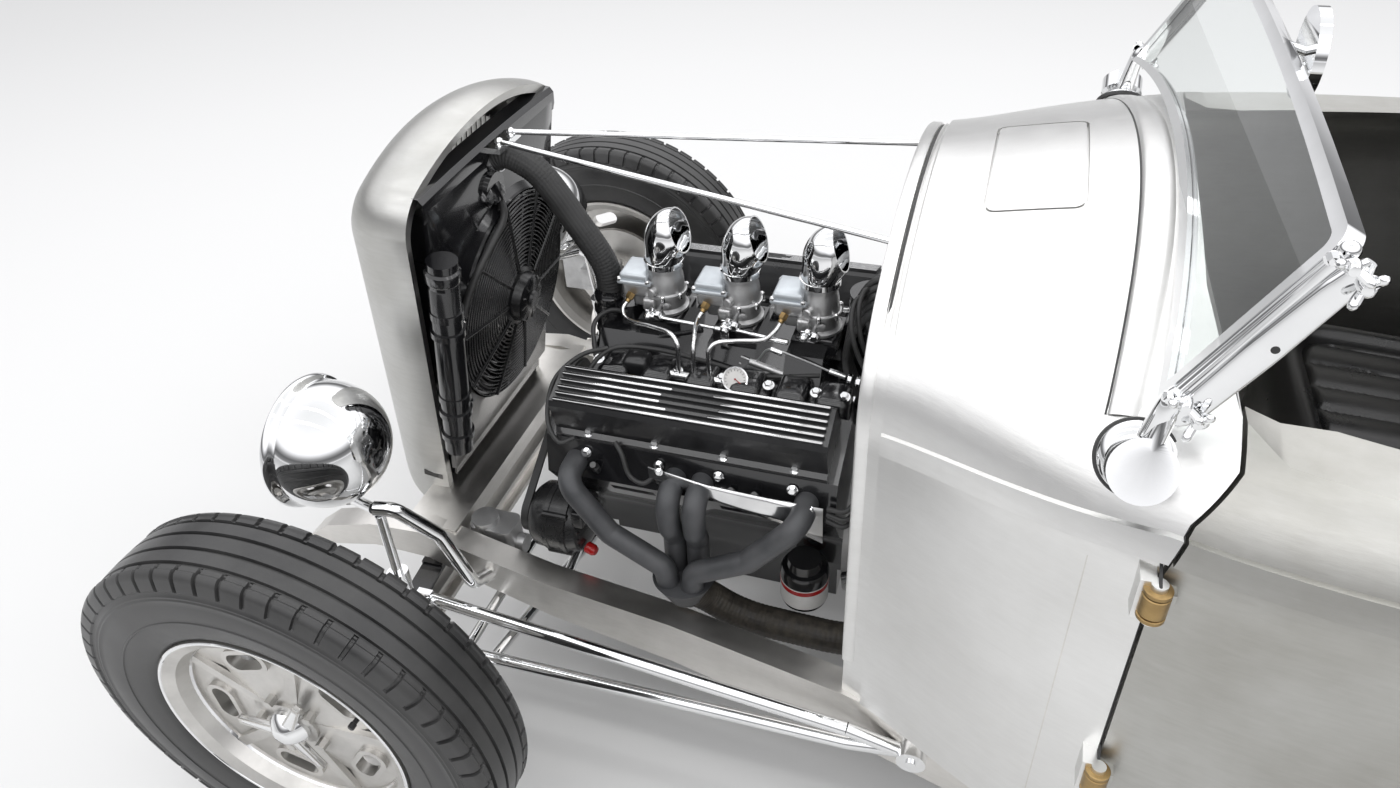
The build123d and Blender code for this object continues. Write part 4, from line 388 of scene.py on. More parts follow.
# %% Finishes of the CAD nodes
dress(sheet_steel, "floor", "radiator_shell", "grille", "dashboard")
dress(cowl_steel_painted_light, "cowl")
dress(door_steel, "body_tub", "door_left", "door_right", "deck_lid")
dress(frame_steel_painted_light, "rail_left", "rail_right", "crossmembers", "front_axle", "pitman_arm", "rear_suspension")
dress(chrome, "tie_rod", "drag_link", "radius_rods", "track_bar", "fuel_lines", "air_scoops", "front_shocks",
      "stay_rods", "headlamps", "windscreen_frame")
dress(gloss_black, "engine", "intake_manifold", "front_spring", "rear_axle", "fuel_tank", "steering_column")
dress(satin_black, "valve_covers", "alternator")
dress(gloss_black, "radiator", "overflow_tank", "cooling_fan")
dress(header_coat, "exhaust")
dress(cast_alloy, "carburettors", "knuckle_left", "knuckle_right", "steering_gear", "gearbox")
dress(hose_rubber, "belt_drive", "top_hose")
dress(white_enamel, "oil_filter")
dress(clear_glass, "windscreen_glass", "headlamp_lenses")
dress(leather, "seat_base", "seat_back")
dress(red_plastic, "tail_lamps")
SIDES = (("left", 1), ("right", -1))
CORNERS = [f"{end}_{side}" for end in ("front", "rear") for side, sign in SIDES]
dress(wheel_alloy, *[f"wheel_{corner}" for corner in CORNERS])
dress(tyre_rubber, *[f"tyre_{corner}" for corner in CORNERS])
print("undressed:", [name for name, node in nodes.items() if "smooth" not in node.modifiers])

# %% [markdown]
# ## Surfaces from arrays
# New pieces are grids of points. A grid is worked out as one numpy array, from two parameters or
# from a profile carried along a path, and neighbouring points become four-sided faces.


# %% Grid helpers
DOUBLES = 0.00001


def quads_of(points, wrap_rows=False, wrap_columns=False):
    """(points, quads) of a grid with shape (rows, columns, 3); a wrapped side joins its start."""
    rows, columns = points.shape[:2]
    index = np.arange(rows * columns).reshape(rows, columns)
    if wrap_rows:
        index = np.vstack([index, index[:1]])
    if wrap_columns:
        index = np.hstack([index, index[:, :1]])
    quads = np.stack([index[:-1, :-1], index[1:, :-1], index[1:, 1:], index[:-1, 1:]], -1)
    return points.reshape(-1, 3), quads.reshape(-1, 4)


def piece(name, sheets, material, body="chassis", replaces=(), sharp_degrees=35):
    """Object from several (points, quads) sheets, its doubles merged and its faces turned outwards."""
    starts = np.cumsum([0] + [len(points) for points, quads in sheets])
    points = np.concatenate([points for points, quads in sheets])
    quads = np.concatenate([quads + start for (p, quads), start in zip(sheets, starts)])
    mesh = bpy.data.meshes.new(name)
    mesh.from_pydata(points.tolist(), [], quads.tolist())
    work = bmesh.new()
    work.from_mesh(mesh)
    bmesh.ops.remove_doubles(work, verts=work.verts, dist=DOUBLES)
    bmesh.ops.recalc_face_normals(work, faces=work.faces)
    work.to_mesh(mesh)
    work.free()
    mesh.polygons.foreach_set("use_smooth", [True] * len(mesh.polygons))
    mesh.set_sharp_from_angle(angle=math.radians(sharp_degrees))
    mesh.materials.append(material)
    made = bpy.data.objects.new(name, mesh)
    bpy.context.scene.collection.objects.link(made)
    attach(made, body)
    if replaces:
        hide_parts(*replaces)
    print(f"{name}: {len(mesh.polygons)} faces on {body}")
    return made


def behind(distance):
    """Row Y, in metres, of a distance behind the front axle in millimetres."""
    return FRONT_AXLE_Y + distance / 1000


def at(x, distance, z):
    """Row point from millimetres: left of the middle, behind the front axle, above the floor."""
    return np.array([x / 1000, behind(distance), z / 1000])


def unit(vector):
    """The vector divided by its length, row by row."""
    return vector / np.linalg.norm(vector, axis=-1, keepdims=True)


def circle(count):
    """Evenly spaced angles round one turn, the last one short of the first."""
    return np.linspace(0, 2 * math.pi, count, endpoint=False)


def turned(profile, centre, axis, segments=48):
    """Surface of revolution: centre + axis*a + r*(cos t * e1 + sin t * e2) for (a, r) in profile."""
    axis = unit(np.asarray(axis, float))
    helper = np.array([0.0, 0, 1]) if abs(axis[2]) < 0.9 else np.array([1.0, 0, 0])
    e1 = unit(np.cross(axis, helper))
    e2 = np.cross(axis, e1)
    t = circle(segments)
    ring = np.cos(t)[:, None] * e1 + np.sin(t)[:, None] * e2
    a, r = np.asarray(profile, float).T
    points = np.asarray(centre) + a[None, :, None] * axis + r[None, :, None] * ring[:, None, :]
    return quads_of(points, wrap_rows=True)


def smooth_path(corners, count):
    """Catmull-Rom curve through the corners, sampled evenly in its parameter."""
    p = np.asarray(corners, float)
    p = np.vstack([2 * p[0] - p[1], p, 2 * p[-1] - p[-2]])
    u = np.linspace(0, len(p) - 3 - 1e-9, count)
    k = u.astype(int)
    t = (u - k)[:, None]
    a, b, c, d = p[k], p[k + 1], p[k + 2], p[k + 3]
    return 0.5 * (2 * b + (c - a) * t + (2 * a - 5 * b + 4 * c - d) * t**2 + (3 * b - a - 3 * c + d) * t**3)


def route(places, count):
    """Smooth path through places in millimetres, given as for at()."""
    return smooth_path([at(*place) for place in places], count)


def tube(path, radius, sides=12, up=(0.0, 0.0, 1.0), capped=True):
    """Round tube: path(u) + radius(u) * (cos t * across + sin t * above)."""
    path = np.asarray(path, float)
    along = unit(np.gradient(path, axis=0))
    across = unit(np.cross(along, np.asarray(up, float)))
    above = np.cross(across, along)
    t = circle(sides)
    r = np.broadcast_to(np.asarray(radius, float), (len(path),))[:, None, None]
    ring = np.cos(t)[None, :, None] * across[:, None] + np.sin(t)[None, :, None] * above[:, None]
    points = path[:, None] + r * ring
    if capped:
        ends = np.repeat(path[[0, -1]][:, None], sides, axis=1)
        points = np.concatenate([ends[:1], points, ends[1:]])
    return quads_of(points, wrap_columns=True)


def rod(start, end, radius, sides=12):
    """Straight round bar between two points."""
    start, end = np.asarray(start, float), np.asarray(end, float)
    length = np.linalg.norm(end - start)
    chamfer = min(radius * 0.25, length * 0.2)
    profile = [(0, 0), (0, radius - chamfer), (chamfer, radius), (length - chamfer, radius),
               (length, radius - chamfer), (length, 0)]
    return turned(profile, start, end - start, sides)


def ball(centre, radius, rows=9, sides=16):
    """Sphere as a turned half circle."""
    t = np.linspace(0, math.pi, rows)
    return turned(np.stack([-radius * np.cos(t), radius * np.sin(t)], 1), centre, (0, 0, 1), sides)


def bolt(centre, axis, across_flats, height, washer=True):
    """Hexagon head with a chamfer, on a thin washer."""
    r = across_flats / math.sqrt(3)
    head = turned([(0, 0), (0, r), (height * 0.8, r), (height, r * 0.8), (height, 0)], centre, axis, 6)
    disc = turned([(0, 0), (0, r * 1.35), (height * 0.15, r * 1.35), (height * 0.15, 0)], centre, axis, 20)
    return [head, disc] if washer else [head]


def slab(corner_low, corner_high, bevel):
    """Rounded box: rings of a sphere of the bevel's radius, each point moved to its own inner corner."""
    low, high = np.asarray(corner_low, float), np.asarray(corner_high, float)
    inner_low, inner_high = low + bevel, high - bevel
    t = circle(32) + math.pi / 32
    rows = []
    for lift in np.concatenate([np.linspace(-math.pi / 2, 0, 4), np.linspace(0, math.pi / 2, 4)]):
        corner = np.stack([np.cos(t) * math.cos(lift), np.sin(t) * math.cos(lift),
                           np.full_like(t, math.sin(lift))], 1)
        side = np.stack([np.where(np.cos(t) > 0, inner_high[0], inner_low[0]),
                         np.where(np.sin(t) > 0, inner_high[1], inner_low[1]),
                         np.full_like(t, inner_high[2] if len(rows) >= 4 else inner_low[2])], 1)
        rows.append(side + bevel * corner)
    centre_low = np.tile([(low[0] + high[0]) / 2, (low[1] + high[1]) / 2, low[2]], (32, 1))
    centre_high = centre_low.copy()
    centre_high[:, 2] = high[2]
    return quads_of(np.array([centre_low] + rows + [centre_high]), wrap_columns=True)


# %% [markdown]
# ## Tyres
# The front tyre is a ribbed one: five plain ribs between narrow grooves, then square blocks that
# wrap round the shoulder and end in a raised edge on the side wall. A ring of points follows the
# cross-section, and a height in millimetres, a function of the distance s from the middle of the
# tread and the turn angle, moves each point along its normal. Points lie only where that height
# starts or stops changing, so a groove has crisp edges and few faces.


# %% Tyre surface
RIM_EDGE_R = 0.222
GROOVES = (-42, -15, 15, 42)
GROOVE_EDGES = (-3.4, -1.8, 1.8, 3.4)
BLOCK_EDGES = (-9.75, -8.25, -4, -2, 1, 3, 34.75, 37.25)
RING_EDGES = (-2, -0.8, 0.8, 2)
GAP_EDGES = (2.6, 4.2)
SHOULDER_STEP, WALL_STEP = 2.4, 9.0
WALL_RINGS = ((46, 0.8), (52, 0.8), (96, 1.4))


def arc_through(a, b, c, count):
    """Points of the circle through a, b and c, from a to c."""
    (ax, ay), (bx, by), (cx, cy) = a, b, c
    d = 2 * (ax * (by - cy) + bx * (cy - ay) + cx * (ay - by))
    ux = ((ax**2 + ay**2) * (by - cy) + (bx**2 + by**2) * (cy - ay) + (cx**2 + cy**2) * (ay - by)) / d
    uy = ((ax**2 + ay**2) * (cx - bx) + (bx**2 + by**2) * (ax - cx) + (cx**2 + cy**2) * (bx - ax)) / d
    start = math.atan2(ay - uy, ax - ux)
    middle = (math.atan2(by - uy, bx - ux) - start + math.pi) % (2 * math.pi) - math.pi
    whole = (math.atan2(cy - uy, cx - ux) - start + math.pi) % (2 * math.pi) - math.pi
    if whole * middle < 0:
        whole -= math.copysign(2 * math.pi, whole)
    t = start + np.linspace(0, whole, count)
    r = math.hypot(ax - ux, ay - uy)
    return np.stack([ux + r * np.cos(t), uy + r * np.sin(t)], 1)


def tyre_half(radius, width, half_rim):
    """Half of the cross-section as (x, r), from the middle of the tread to the bead."""
    w = width / 2
    wall_r = RIM_EDGE_R + (radius - RIM_EDGE_R) * 0.52
    crown = arc_through((0, radius), (w * 0.35, radius - 0.0006), (w - 0.023, radius - 0.003), 60)
    shoulder = arc_through((w - 0.023, radius - 0.003), (w - 0.015, radius - 0.006),
                           (w - 0.010, radius - 0.014), 30)
    wall = arc_through((w - 0.010, radius - 0.014), (w, wall_r), (half_rim, RIM_EDGE_R + 0.005), 120)
    bead = np.array([(half_rim - 0.004, RIM_EDGE_R + 0.002), (half_rim - 0.010, RIM_EDGE_R - 0.006),
                     (half_rim - 0.011, RIM_EDGE_R - 0.017)])
    return np.concatenate([crown[:-1], shoulder[:-1], wall, bead])


def step(value, edge, soft):
    """0 below the edge, 1 above it, with a ramp of width soft."""
    return np.clip((value - edge) / soft + 0.5, 0, 1)


def tread_height(s, turn, radius, half_tread, blocks):
    """Height in millimetres above the smooth tyre, from distance s off the middle and the turn."""
    across, along = np.meshgrid(s, turn, indexing="xy")
    height = np.zeros_like(across)
    for groove in GROOVES:
        off = np.abs(across - groove)
        height -= 5.0 * (1 - step(off, 2.6, 1.6))
    band = np.abs(across)
    phase = (along * blocks / (2 * math.pi) + 0.5 * (across < 0)) % 1.0
    gap = 1 - step(np.abs(phase - 0.5) * 2 * math.pi * radius * 1000 / blocks, 3.4, 1.6)
    block_zone = step(band, half_tread - 3, 2.0) * (1 - step(band, half_tread + 36, 2.5))
    height += 2.6 * block_zone * step(band, half_tread + 2, 2.0) - 5.0 * gap * block_zone
    notch_zone = step(band, half_tread - 9, 1.5) * (1 - step(band, half_tread - 3, 2))
    height -= 3.0 * gap * notch_zone
    for ring, proud in WALL_RINGS:
        height += proud * (1 - step(np.abs(band - half_tread - ring), 1.4, 1.2))
    return height


def filled(marks, widest):
    """The marks in order, with even steps put in wherever two lie further apart than widest(mark)."""
    marks = np.sort(np.asarray(marks, float))
    marks = marks[np.concatenate([[True], np.diff(marks) > 0.3])]
    parts = [np.linspace(a, b, max(int(math.ceil((b - a) / widest(a))), 1), endpoint=False)
             for a, b in zip(marks[:-1], marks[1:])]
    return np.concatenate(parts + [marks[-1:]])


def tyre_piece(corner, radius, width, half_rim, centre, blocks):
    """Whole tyre round X: columns lie where the height starts or stops changing, so edges stay crisp."""
    half = tyre_half(radius, width, half_rim)
    lengths = np.concatenate([[0], np.cumsum(np.linalg.norm(np.diff(half, axis=0), axis=1))]) * 1000
    along = unit(np.gradient(half, axis=0))
    half_tread = (width / 2 - 0.023) * 1000
    marks = [0, lengths[-1], lengths[-2], lengths[-3]]
    marks += [groove + edge for groove in GROOVES if groove > 0 for edge in GROOVE_EDGES]
    marks += [half_tread + edge for edge in BLOCK_EDGES]
    marks += [half_tread + ring + edge for ring, _ in WALL_RINGS for edge in RING_EDGES]
    s = filled(marks, lambda mark: SHOULDER_STEP if half_tread - 2 <= mark < half_tread + 18 else WALL_STEP)
    x, r = (np.interp(s, lengths, half[:, axis]) for axis in (0, 1))
    normal_x, normal_r = (np.interp(s, lengths, axis) for axis in (-along[:, 1], along[:, 0]))
    s, x, normal_x = (np.concatenate([-row[:0:-1], row]) for row in (s, x, normal_x))
    r, normal_r = (np.concatenate([row[:0:-1], row]) for row in (r, normal_r))
    pitch = 2 * math.pi * radius * 1000 / blocks
    edges = np.array(GAP_EDGES) / pitch
    within = np.concatenate([edges, 0.5 - edges[::-1], 0.5 + edges, 1 - edges[::-1]])
    turn = (np.arange(blocks)[:, None] + within).ravel() * 2 * math.pi / blocks
    lift = tread_height(s, turn, radius, half_tread, blocks) / 1000
    x = x + lift * normal_x
    r = r + lift * normal_r
    points = np.stack([x, r * np.cos(turn)[:, None], r * np.sin(turn)[:, None]], -1) + centre
    return piece(f"tread_{corner}", [quads_of(points, wrap_rows=True)], tyre_rubber, f"wheel_{corner}",
                 (f"tyre_{corner}",), 40)


TYRES = (("front", 0.365, 0.150, 0.065, 0.0, 0.711, 56), ("rear", 0.395, 0.205, 0.088, 2692.0, 0.755, 60))
for end, radius, width, half_rim, distance, wheel_x, blocks in TYRES:
    for side, sign in SIDES:
        centre = np.array([sign * wheel_x, behind(distance), radius])
        tyre_piece(f"{end}_{side}", radius, width, half_rim, centre, blocks)

# %% [markdown]
# ## Wheels
# The cast wheels have their true shape already. What they lack is the small hardware: a valve
# stem, the polished lip where the rim meets the tyre, and the bright cap whose three ears were
# once struck with a hammer to tighten it.

# %% Valve stems, bright lips and spinners
def bar(start, end, across, width, thick, taper):
    """Flat tapered bar with bevelled edges, from start to end; across is its width's direction."""
    along = unit(end - start)
    up = np.cross(along, across)
    rows = []
    for share, grow in ((0.0, 0.02), (0.0, 1.0), (0.94, taper), (1.0, taper * 0.7), (1.0, 0.02)):
        w, h = width / 2 * grow, thick / 2 * min(grow * 1.2, 1)
        ring = [(-w, -h * 0.5), (-w * 0.8, -h), (w * 0.8, -h), (w, -h * 0.5), (w, h * 0.5), (w * 0.5, h),
                (-w * 0.5, h), (-w, h * 0.5)]
        rows.append([start + (end - start) * share + across * a + up * b for a, b in ring])
    return quads_of(np.array(rows), wrap_columns=True)


for end, radius, width, half_rim, distance, wheel_x, _ in TYRES:
    for side, sign in SIDES:
        root = np.array([sign * (wheel_x + half_rim - 0.030), behind(distance) + 0.16, radius + 0.098])
        tip = root + np.array([sign * 0.034, -0.004, -0.003])
        piece(f"valve_stem_{end}_{side}", [rod(root, tip, 0.004), rod(tip - (tip - root) * 0.3, tip, 0.0055)],
              satin_black, f"wheel_{end}_{side}")
        centre = np.array([sign * wheel_x, behind(distance), radius])
        out = np.array([sign, 0.0, 0.0])
        face = half_rim - 0.038
        lip = turned([(half_rim + 0.0004, 0.2215), (half_rim + 0.0014, 0.2200), (half_rim + 0.0012, 0.2165),
                      (half_rim - 0.0020, 0.2140), (half_rim - 0.0100, 0.2040), (half_rim - 0.0340, 0.1866),
                      (half_rim - 0.0340, 0.1880), (half_rim - 0.0095, 0.2060), (half_rim - 0.0005, 0.2160),
                      (half_rim + 0.0004, 0.2215)], centre, out, 144)
        cap = turned([(face + 0.0125, 0.0), (face + 0.0125, 0.034), (face + 0.020, 0.0345),
                      (face + 0.0265, 0.0305), (face + 0.0385, 0.0168), (face + 0.0405, 0.012),
                      (face + 0.0408, 0.0)], centre, out, 48)
        ears = []
        for angle in (60, 180, 300):
            turn = math.radians(angle)
            reach = np.array([0, math.cos(turn), math.sin(turn)])
            middle = centre + out * (face + 0.026)
            ears.append(bar(middle + reach * 0.007, middle + reach * 0.0895, np.cross(out, reach), 0.024,
                            0.0125, 0.66))
        piece(f"spinner_{end}_{side}", [lip, cap] + ears, chrome, f"wheel_{end}_{side}")

# %% [markdown]
# ## Fan guard
# The electric fan sits behind a guard of thin rings on straight bars. Rings are a circle turned
# round the fan's axis, one small round section for each radius, in one joined mesh.

# %% Fan guard and motor
SHELL_LEAN = math.radians(8.7)
SHELL_FOOT = at(0, -27, 318)
LEAN_UP = np.array([0, math.sin(SHELL_LEAN), math.cos(SHELL_LEAN)])
LEAN_FORWARD = np.array([0, -math.cos(SHELL_LEAN), math.sin(SHELL_LEAN)])


def on_shell(x, height, forward):
    """Point in the radiator's leaning frame, from millimetres."""
    return SHELL_FOOT + np.array([x / 1000, 0, 0]) + LEAN_UP * height / 1000 + LEAN_FORWARD * forward / 1000


FAN_CENTRE = on_shell(0, 420, -50)
BACKWARD = -LEAN_FORWARD
rings = []
for radius in np.linspace(0.066, 0.204, 19):
    t = np.linspace(0, 2 * math.pi, 7)
    dish = 0.012 * (1 - (radius / 0.21) ** 2)
    section = np.stack([dish + 0.0016 * np.sin(t), radius + 0.0016 * np.cos(t)], 1)
    rings.append(turned(section, FAN_CENTRE, BACKWARD, 72))
for number in range(10):
    t = math.radians(36 * number + 9)
    way = np.array([math.cos(t), 0, 0]) + LEAN_UP * math.sin(t)
    rings.append(rod(FAN_CENTRE + way * 0.058 + BACKWARD * 0.014, FAN_CENTRE + way * 0.206 + BACKWARD * 0.002,
                     0.0032, 8))
motor = turned([(-0.02, 0), (-0.02, 0.060), (0.006, 0.064), (0.012, 0.060), (0.014, 0.050), (0.030, 0.046),
                (0.034, 0.040), (0.036, 0.018), (0.041, 0.016), (0.042, 0)], FAN_CENTRE, BACKWARD, 48)
vents = []
for number in range(12):
    t = math.radians(30 * number)
    way = np.array([math.cos(t), 0, 0]) + LEAN_UP * math.sin(t)
    vents.append(rod(FAN_CENTRE + way * 0.020 + BACKWARD * 0.0335,
                     FAN_CENTRE + way * 0.044 + BACKWARD * 0.033, 0.0022, 8))
piece("fan_guard", rings + [motor] + vents, plastic_black)

# %% [markdown]
# ## Shroud
# A black panel fills the shell round the fan, with a pressed edge along its sides and a shallow
# dish that steps in to the fan's ring.

# %% Fan shroud
t = circle(96)
ring_x, ring_up = np.cos(t), np.sin(t)
share = np.minimum(1 / np.maximum(np.abs(ring_x), 1e-6), 1 / np.maximum(np.abs(ring_up), 1e-6))
rows = []
for mix_in, back_off in ((1.0, -8), (1.0, -16), (0.96, -18), (0.55, -20), (0.10, -30), (0.0, -42),
                         (0.0, -48)):
    wide_x = ring_x * 208 * (1 - mix_in) + np.clip(ring_x * share, -1, 1) * 236 * mix_in
    tall = ring_up * 208 * (1 - mix_in) + np.clip(ring_up * share, -1, 1) * 300 * mix_in
    taper = 1 - 0.00022 * (300 - tall) * mix_in
    rows.append([on_shell(a * b, 420 + c, back_off) for a, b, c in zip(wide_x, taper, tall)])
piece("fan_shroud", [quads_of(np.array(rows), wrap_columns=True)], gloss_black)
top_panel = [[on_shell(x, 716 + lift - 0.00012 * x * x, back_off) for x in np.linspace(-244, 244, 33)]
             for lift, back_off in ((-14, -16), (0, -18), (22, -16), (30, -8), (30, 20))]
piece("radiator_top_panel", [quads_of(np.array(top_panel))], gloss_black)

# %% [markdown]
# ## Radiator top
# A black cap with a wavy rim closes the filler neck, and a thin hose leads from the neck to the
# overflow tank, which has a plain cap of its own. Polished nuts hold the two stay rods.

# %% Caps and overflow hose
CAP_CENTRE = at(36, 78, 958)
CAP_AXIS = unit(np.array([0.10, 0.62, 0.78]))
wave = circle(96)
cap_rings = []
for lift, radius, ripple in ((0, 0.020, 0), (0, 0.032, 0), (0.003, 0.036, 0.0012), (0.010, 0.036, 0.0012),
                             (0.013, 0.033, 0.0004), (0.019, 0.022, 0), (0.022, 0.008, 0), (0.0222, 0, 0)):
    side_a = unit(np.cross(CAP_AXIS, (1.0, 0, 0)))
    side_b = np.cross(CAP_AXIS, side_a)
    r = (radius + ripple * np.sin(16 * wave))[:, None]
    ring = np.cos(wave)[:, None] * side_a + np.sin(wave)[:, None] * side_b
    cap_rings.append(CAP_CENTRE + CAP_AXIS * (lift + 0.008) + r * ring)
neck = rod(CAP_CENTRE - CAP_AXIS * 0.055, CAP_CENTRE + CAP_AXIS * 0.008, 0.024, 32)
piece("radiator_cap", [quads_of(np.array(cap_rings), wrap_columns=True), neck], gloss_black)

tank_top = on_shell(246, 610, -44)
tank_foot = on_shell(232, 210, -44)
TANK_UP = unit(tank_top - tank_foot)
tank_profile = [(0, 0), (0, 0.020), (0.006, 0.026), (0.380, 0.026), (0.386, 0.024), (0.386, 0.018),
                (0.398, 0.018)]
tank_cap = [(0.392, 0.0), (0.392, 0.028), (0.396, 0.030), (0.412, 0.030), (0.416, 0.026), (0.417, 0.0)]
tank = [turned(tank_profile, tank_foot, TANK_UP, 40), turned(tank_cap, tank_foot, TANK_UP, 28)]
for share in (0.10, 0.24, 0.70):
    place = tank_foot + (tank_top - tank_foot) * share
    tank.append(turned([(0, 0.026), (0, 0.030), (0.012, 0.030), (0.012, 0.026)], place, TANK_UP, 40))
piece("overflow_tank_dress", tank, gloss_black)
for share in (0.25, 0.72):
    place = tank_foot + (tank_top - tank_foot) * share
    ear = place + np.array([-0.032, 0.010, 0])
    piece(f"clamp_bolt_{int(share * 100)}", bolt(ear, (0, 1, 0.2), 0.008, 0.006), chrome)
hose = route([(20, 100, 948), (60, 128, 930), (112, 128, 905), (158, 118, 872), (186, 104, 830),
              (208, 96, 790)], 40)
piece("overflow_hose", [tube(hose, 0.0065, 12)], hose_rubber)

# %% [markdown]
# ## Top hose
# The hose from the radiator to the engine is covered in a knitted sleeve. Its surface is a tube
# whose radius ripples in a diamond pattern, a product of two slanted waves.

# %% Top hose with its sleeve and clamps
def knitted(line, radius, pitch, lanes, depth, up):
    """Closed tube with r = radius + depth * sin(pi*s/pitch + lanes*t) * sin(pi*s/pitch - lanes*t)."""
    along = unit(np.gradient(line, axis=0))
    across = unit(np.cross(along, up))
    above = np.cross(across, along)
    run = np.concatenate([[0], np.cumsum(np.linalg.norm(np.diff(line, axis=0), axis=1))])
    t = circle(6 * lanes)
    lane, turn_grid = np.meshgrid(run / pitch * math.pi, t * lanes, indexing="ij")
    r = (radius + depth * np.sin(lane + turn_grid) * np.sin(lane - turn_grid))[..., None]
    return quads_of(line[:, None] + r * (np.cos(t)[None, :, None] * across[:, None]
                                         + np.sin(t)[None, :, None] * above[:, None]), wrap_columns=True)


hose_line = route([(6, 84, 1006), (2, 111, 1018), (0, 141, 1011), (0, 184, 980), (0, 240, 894), (0, 279, 827),
                   (0, 288, 780), (0, 285, 752)], 270)
piece("top_hose_sleeve", [knitted(hose_line, 0.0242, 0.0062, 11, 0.0007, (1.0, 0, 0.05))], hose_rubber,
      replaces=("top_hose",))
SPOUT_WAY = (0, 0.06, 1)
spout = [turned([(0.0, 0.0), (0.0, 0.0265), (0.030, 0.0265), (0.034, 0.030), (0.042, 0.030), (0.046, 0.0265),
                 (0.056, 0.0265), (0.060, 0.029), (0.068, 0.029), (0.072, 0.026), (0.084, 0.0255),
                 (0.084, 0.0)], at(0, 281, 690), SPOUT_WAY, 40),
         turned([(0.0, 0.0), (0.0, 0.040), (0.010, 0.040), (0.012, 0.030), (0.030, 0.026), (0.052, 0.025),
                 (0.052, 0.0)], at(0, 278, 632), SPOUT_WAY, 40)]
piece("hose_spout", spout, gloss_black)
low_clamp = [(0, 0.0250), (0, 0.0275), (0.012, 0.0275), (0.012, 0.0250)]
high_clamp = [(0, 0.0245), (0, 0.0262), (0.010, 0.0262), (0.010, 0.0245)]
clamps = [turned(low_clamp, at(0, 280, 682), SPOUT_WAY, 40),
          turned(high_clamp, at(4, 92, 1010), (0, 1, 0.35), 40)]
piece("hose_clamps", clamps, bright_alloy)

# %% [markdown]
# ## Headlamps
# Each lamp is a deep polished bowl with a rolled rim. A turned profile with many points gives
# cleaner reflections than facets.

# %% Headlamp bowls
LAMP_X, LAMP_DISTANCE, LAMP_Z = 425, -58, 668
bowl_back = arc_through((-0.096, 0.0005), (-0.050, 0.0905), (0.026, 0.106), 40)
rim_points = np.array([(0.030, 0.108), (0.033, 0.112), (0.037, 0.1145), (0.042, 0.115), (0.047, 0.113),
                       (0.050, 0.108), (0.052, 0.101), (0.049, 0.0995), (0.036, 0.0995)])
inner_bowl = arc_through((0.034, 0.0985), (-0.04, 0.080), (-0.086, 0.0005), 24)
for side, sign in SIDES:
    centre = at(sign * LAMP_X, LAMP_DISTANCE, LAMP_Z)
    profile = np.concatenate([bowl_back, rim_points, inner_bowl])
    piece(f"headlamp_bowl_{side}", [turned(profile, centre, (0, -1, 0), 128)], chrome)
    bulb = centre + np.array([0, 0.04, 0])
    piece(f"lamp_bulb_{side}", [turned([(0, 0), (0, 0.016), (0.03, 0.014), (0.042, 0.006), (0.043, 0)], bulb,
                                       (0, -1, 0), 24)], white_enamel)
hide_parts("headlamps")

# %% [markdown]
# ## Finned valve covers
# The fins' tops were machined after the cover was painted, so bright metal shows on black. Each
# bright strip lies on its fin's top. The middle fins stop short round a plain pad.

# %% Bright fin tops and the plain pad
COVER_X, COVER_Z, COVER_TILT = 213, 654, math.radians(22)
COVER_FRONT, COVER_HEIGHT = 280, 84
FIN_PLACES = np.linspace(-32, 32, 6)


def on_cover(sign, x, height, distance):
    """Point on a tilted valve cover, from millimetres across, up and behind its front end."""
    turned_x = x * math.cos(COVER_TILT) + height * math.sin(COVER_TILT)
    turned_z = -x * math.sin(COVER_TILT) + height * math.cos(COVER_TILT)
    return at(sign * (COVER_X + turned_x), COVER_FRONT + distance, COVER_Z + turned_z)


def fin_strip(sign, x, start, end):
    """Thin rounded strip on a fin's top."""
    section = [(-2.1, -0.6), (-2.1, 0.5), (-1.4, 1.0), (1.4, 1.0), (2.1, 0.5), (2.1, -0.6)]
    stations = [start, start + 1.5, end - 1.5, end]
    shrink = [0.05, 1, 1, 0.05]
    rows = [[on_cover(sign, x + u * s, COVER_HEIGHT + v * s, d) for u, v in section]
            for d, s in zip(stations, shrink)]
    return quads_of(np.array(rows), wrap_columns=True)


strips = []
for sign in (1, -1):
    for number, x in enumerate(FIN_PLACES):
        if number in (2, 3):
            strips += [fin_strip(sign, x, 8, 190), fin_strip(sign, x, 290, 466)]
        elif number in (1, 4):
            strips += [fin_strip(sign, x, 8, 205), fin_strip(sign, x, 275, 466)]
        else:
            strips.append(fin_strip(sign, x, 8, 466))
piece("fin_tops", strips, bright_alloy)

# %% [markdown]
# ## Wrapped exhaust pipe
# Below the collector the pipe is bound in a woven wrap with a scaly pattern. The same knitted
# surface serves here and on the radiator hose: two slanted waves multiplied into diamonds.


# %% Wrapped pipe
def bent_path(corners, bends, spacing=0.003):
    """Straight runs joined by arcs, as evenly spaced points; one bend radius for each inner corner."""
    corners = np.array(corners)
    points = [corners[0]]
    for before, corner, after, bend in zip(corners, corners[1:], corners[2:], bends):
        into, out = unit(corner - before), unit(after - corner)
        half = math.acos(np.clip(into @ out, -1, 1)) / 2
        side = unit(out - into)
        for angle in np.linspace(-half, half, 9):
            middle = corner + side * bend / math.cos(half)
            points.append(middle - side * bend * math.cos(angle) + unit(into + out) * bend * math.sin(angle))
    points = np.array(points + [corners[-1]])
    run = np.concatenate([[0], np.cumsum(np.linalg.norm(np.diff(points, axis=0), axis=1))])
    steps = np.linspace(0, run[-1], int(run[-1] / spacing) + 2)
    return np.stack([np.interp(steps, run, points[:, axis]) for axis in range(3)], 1)


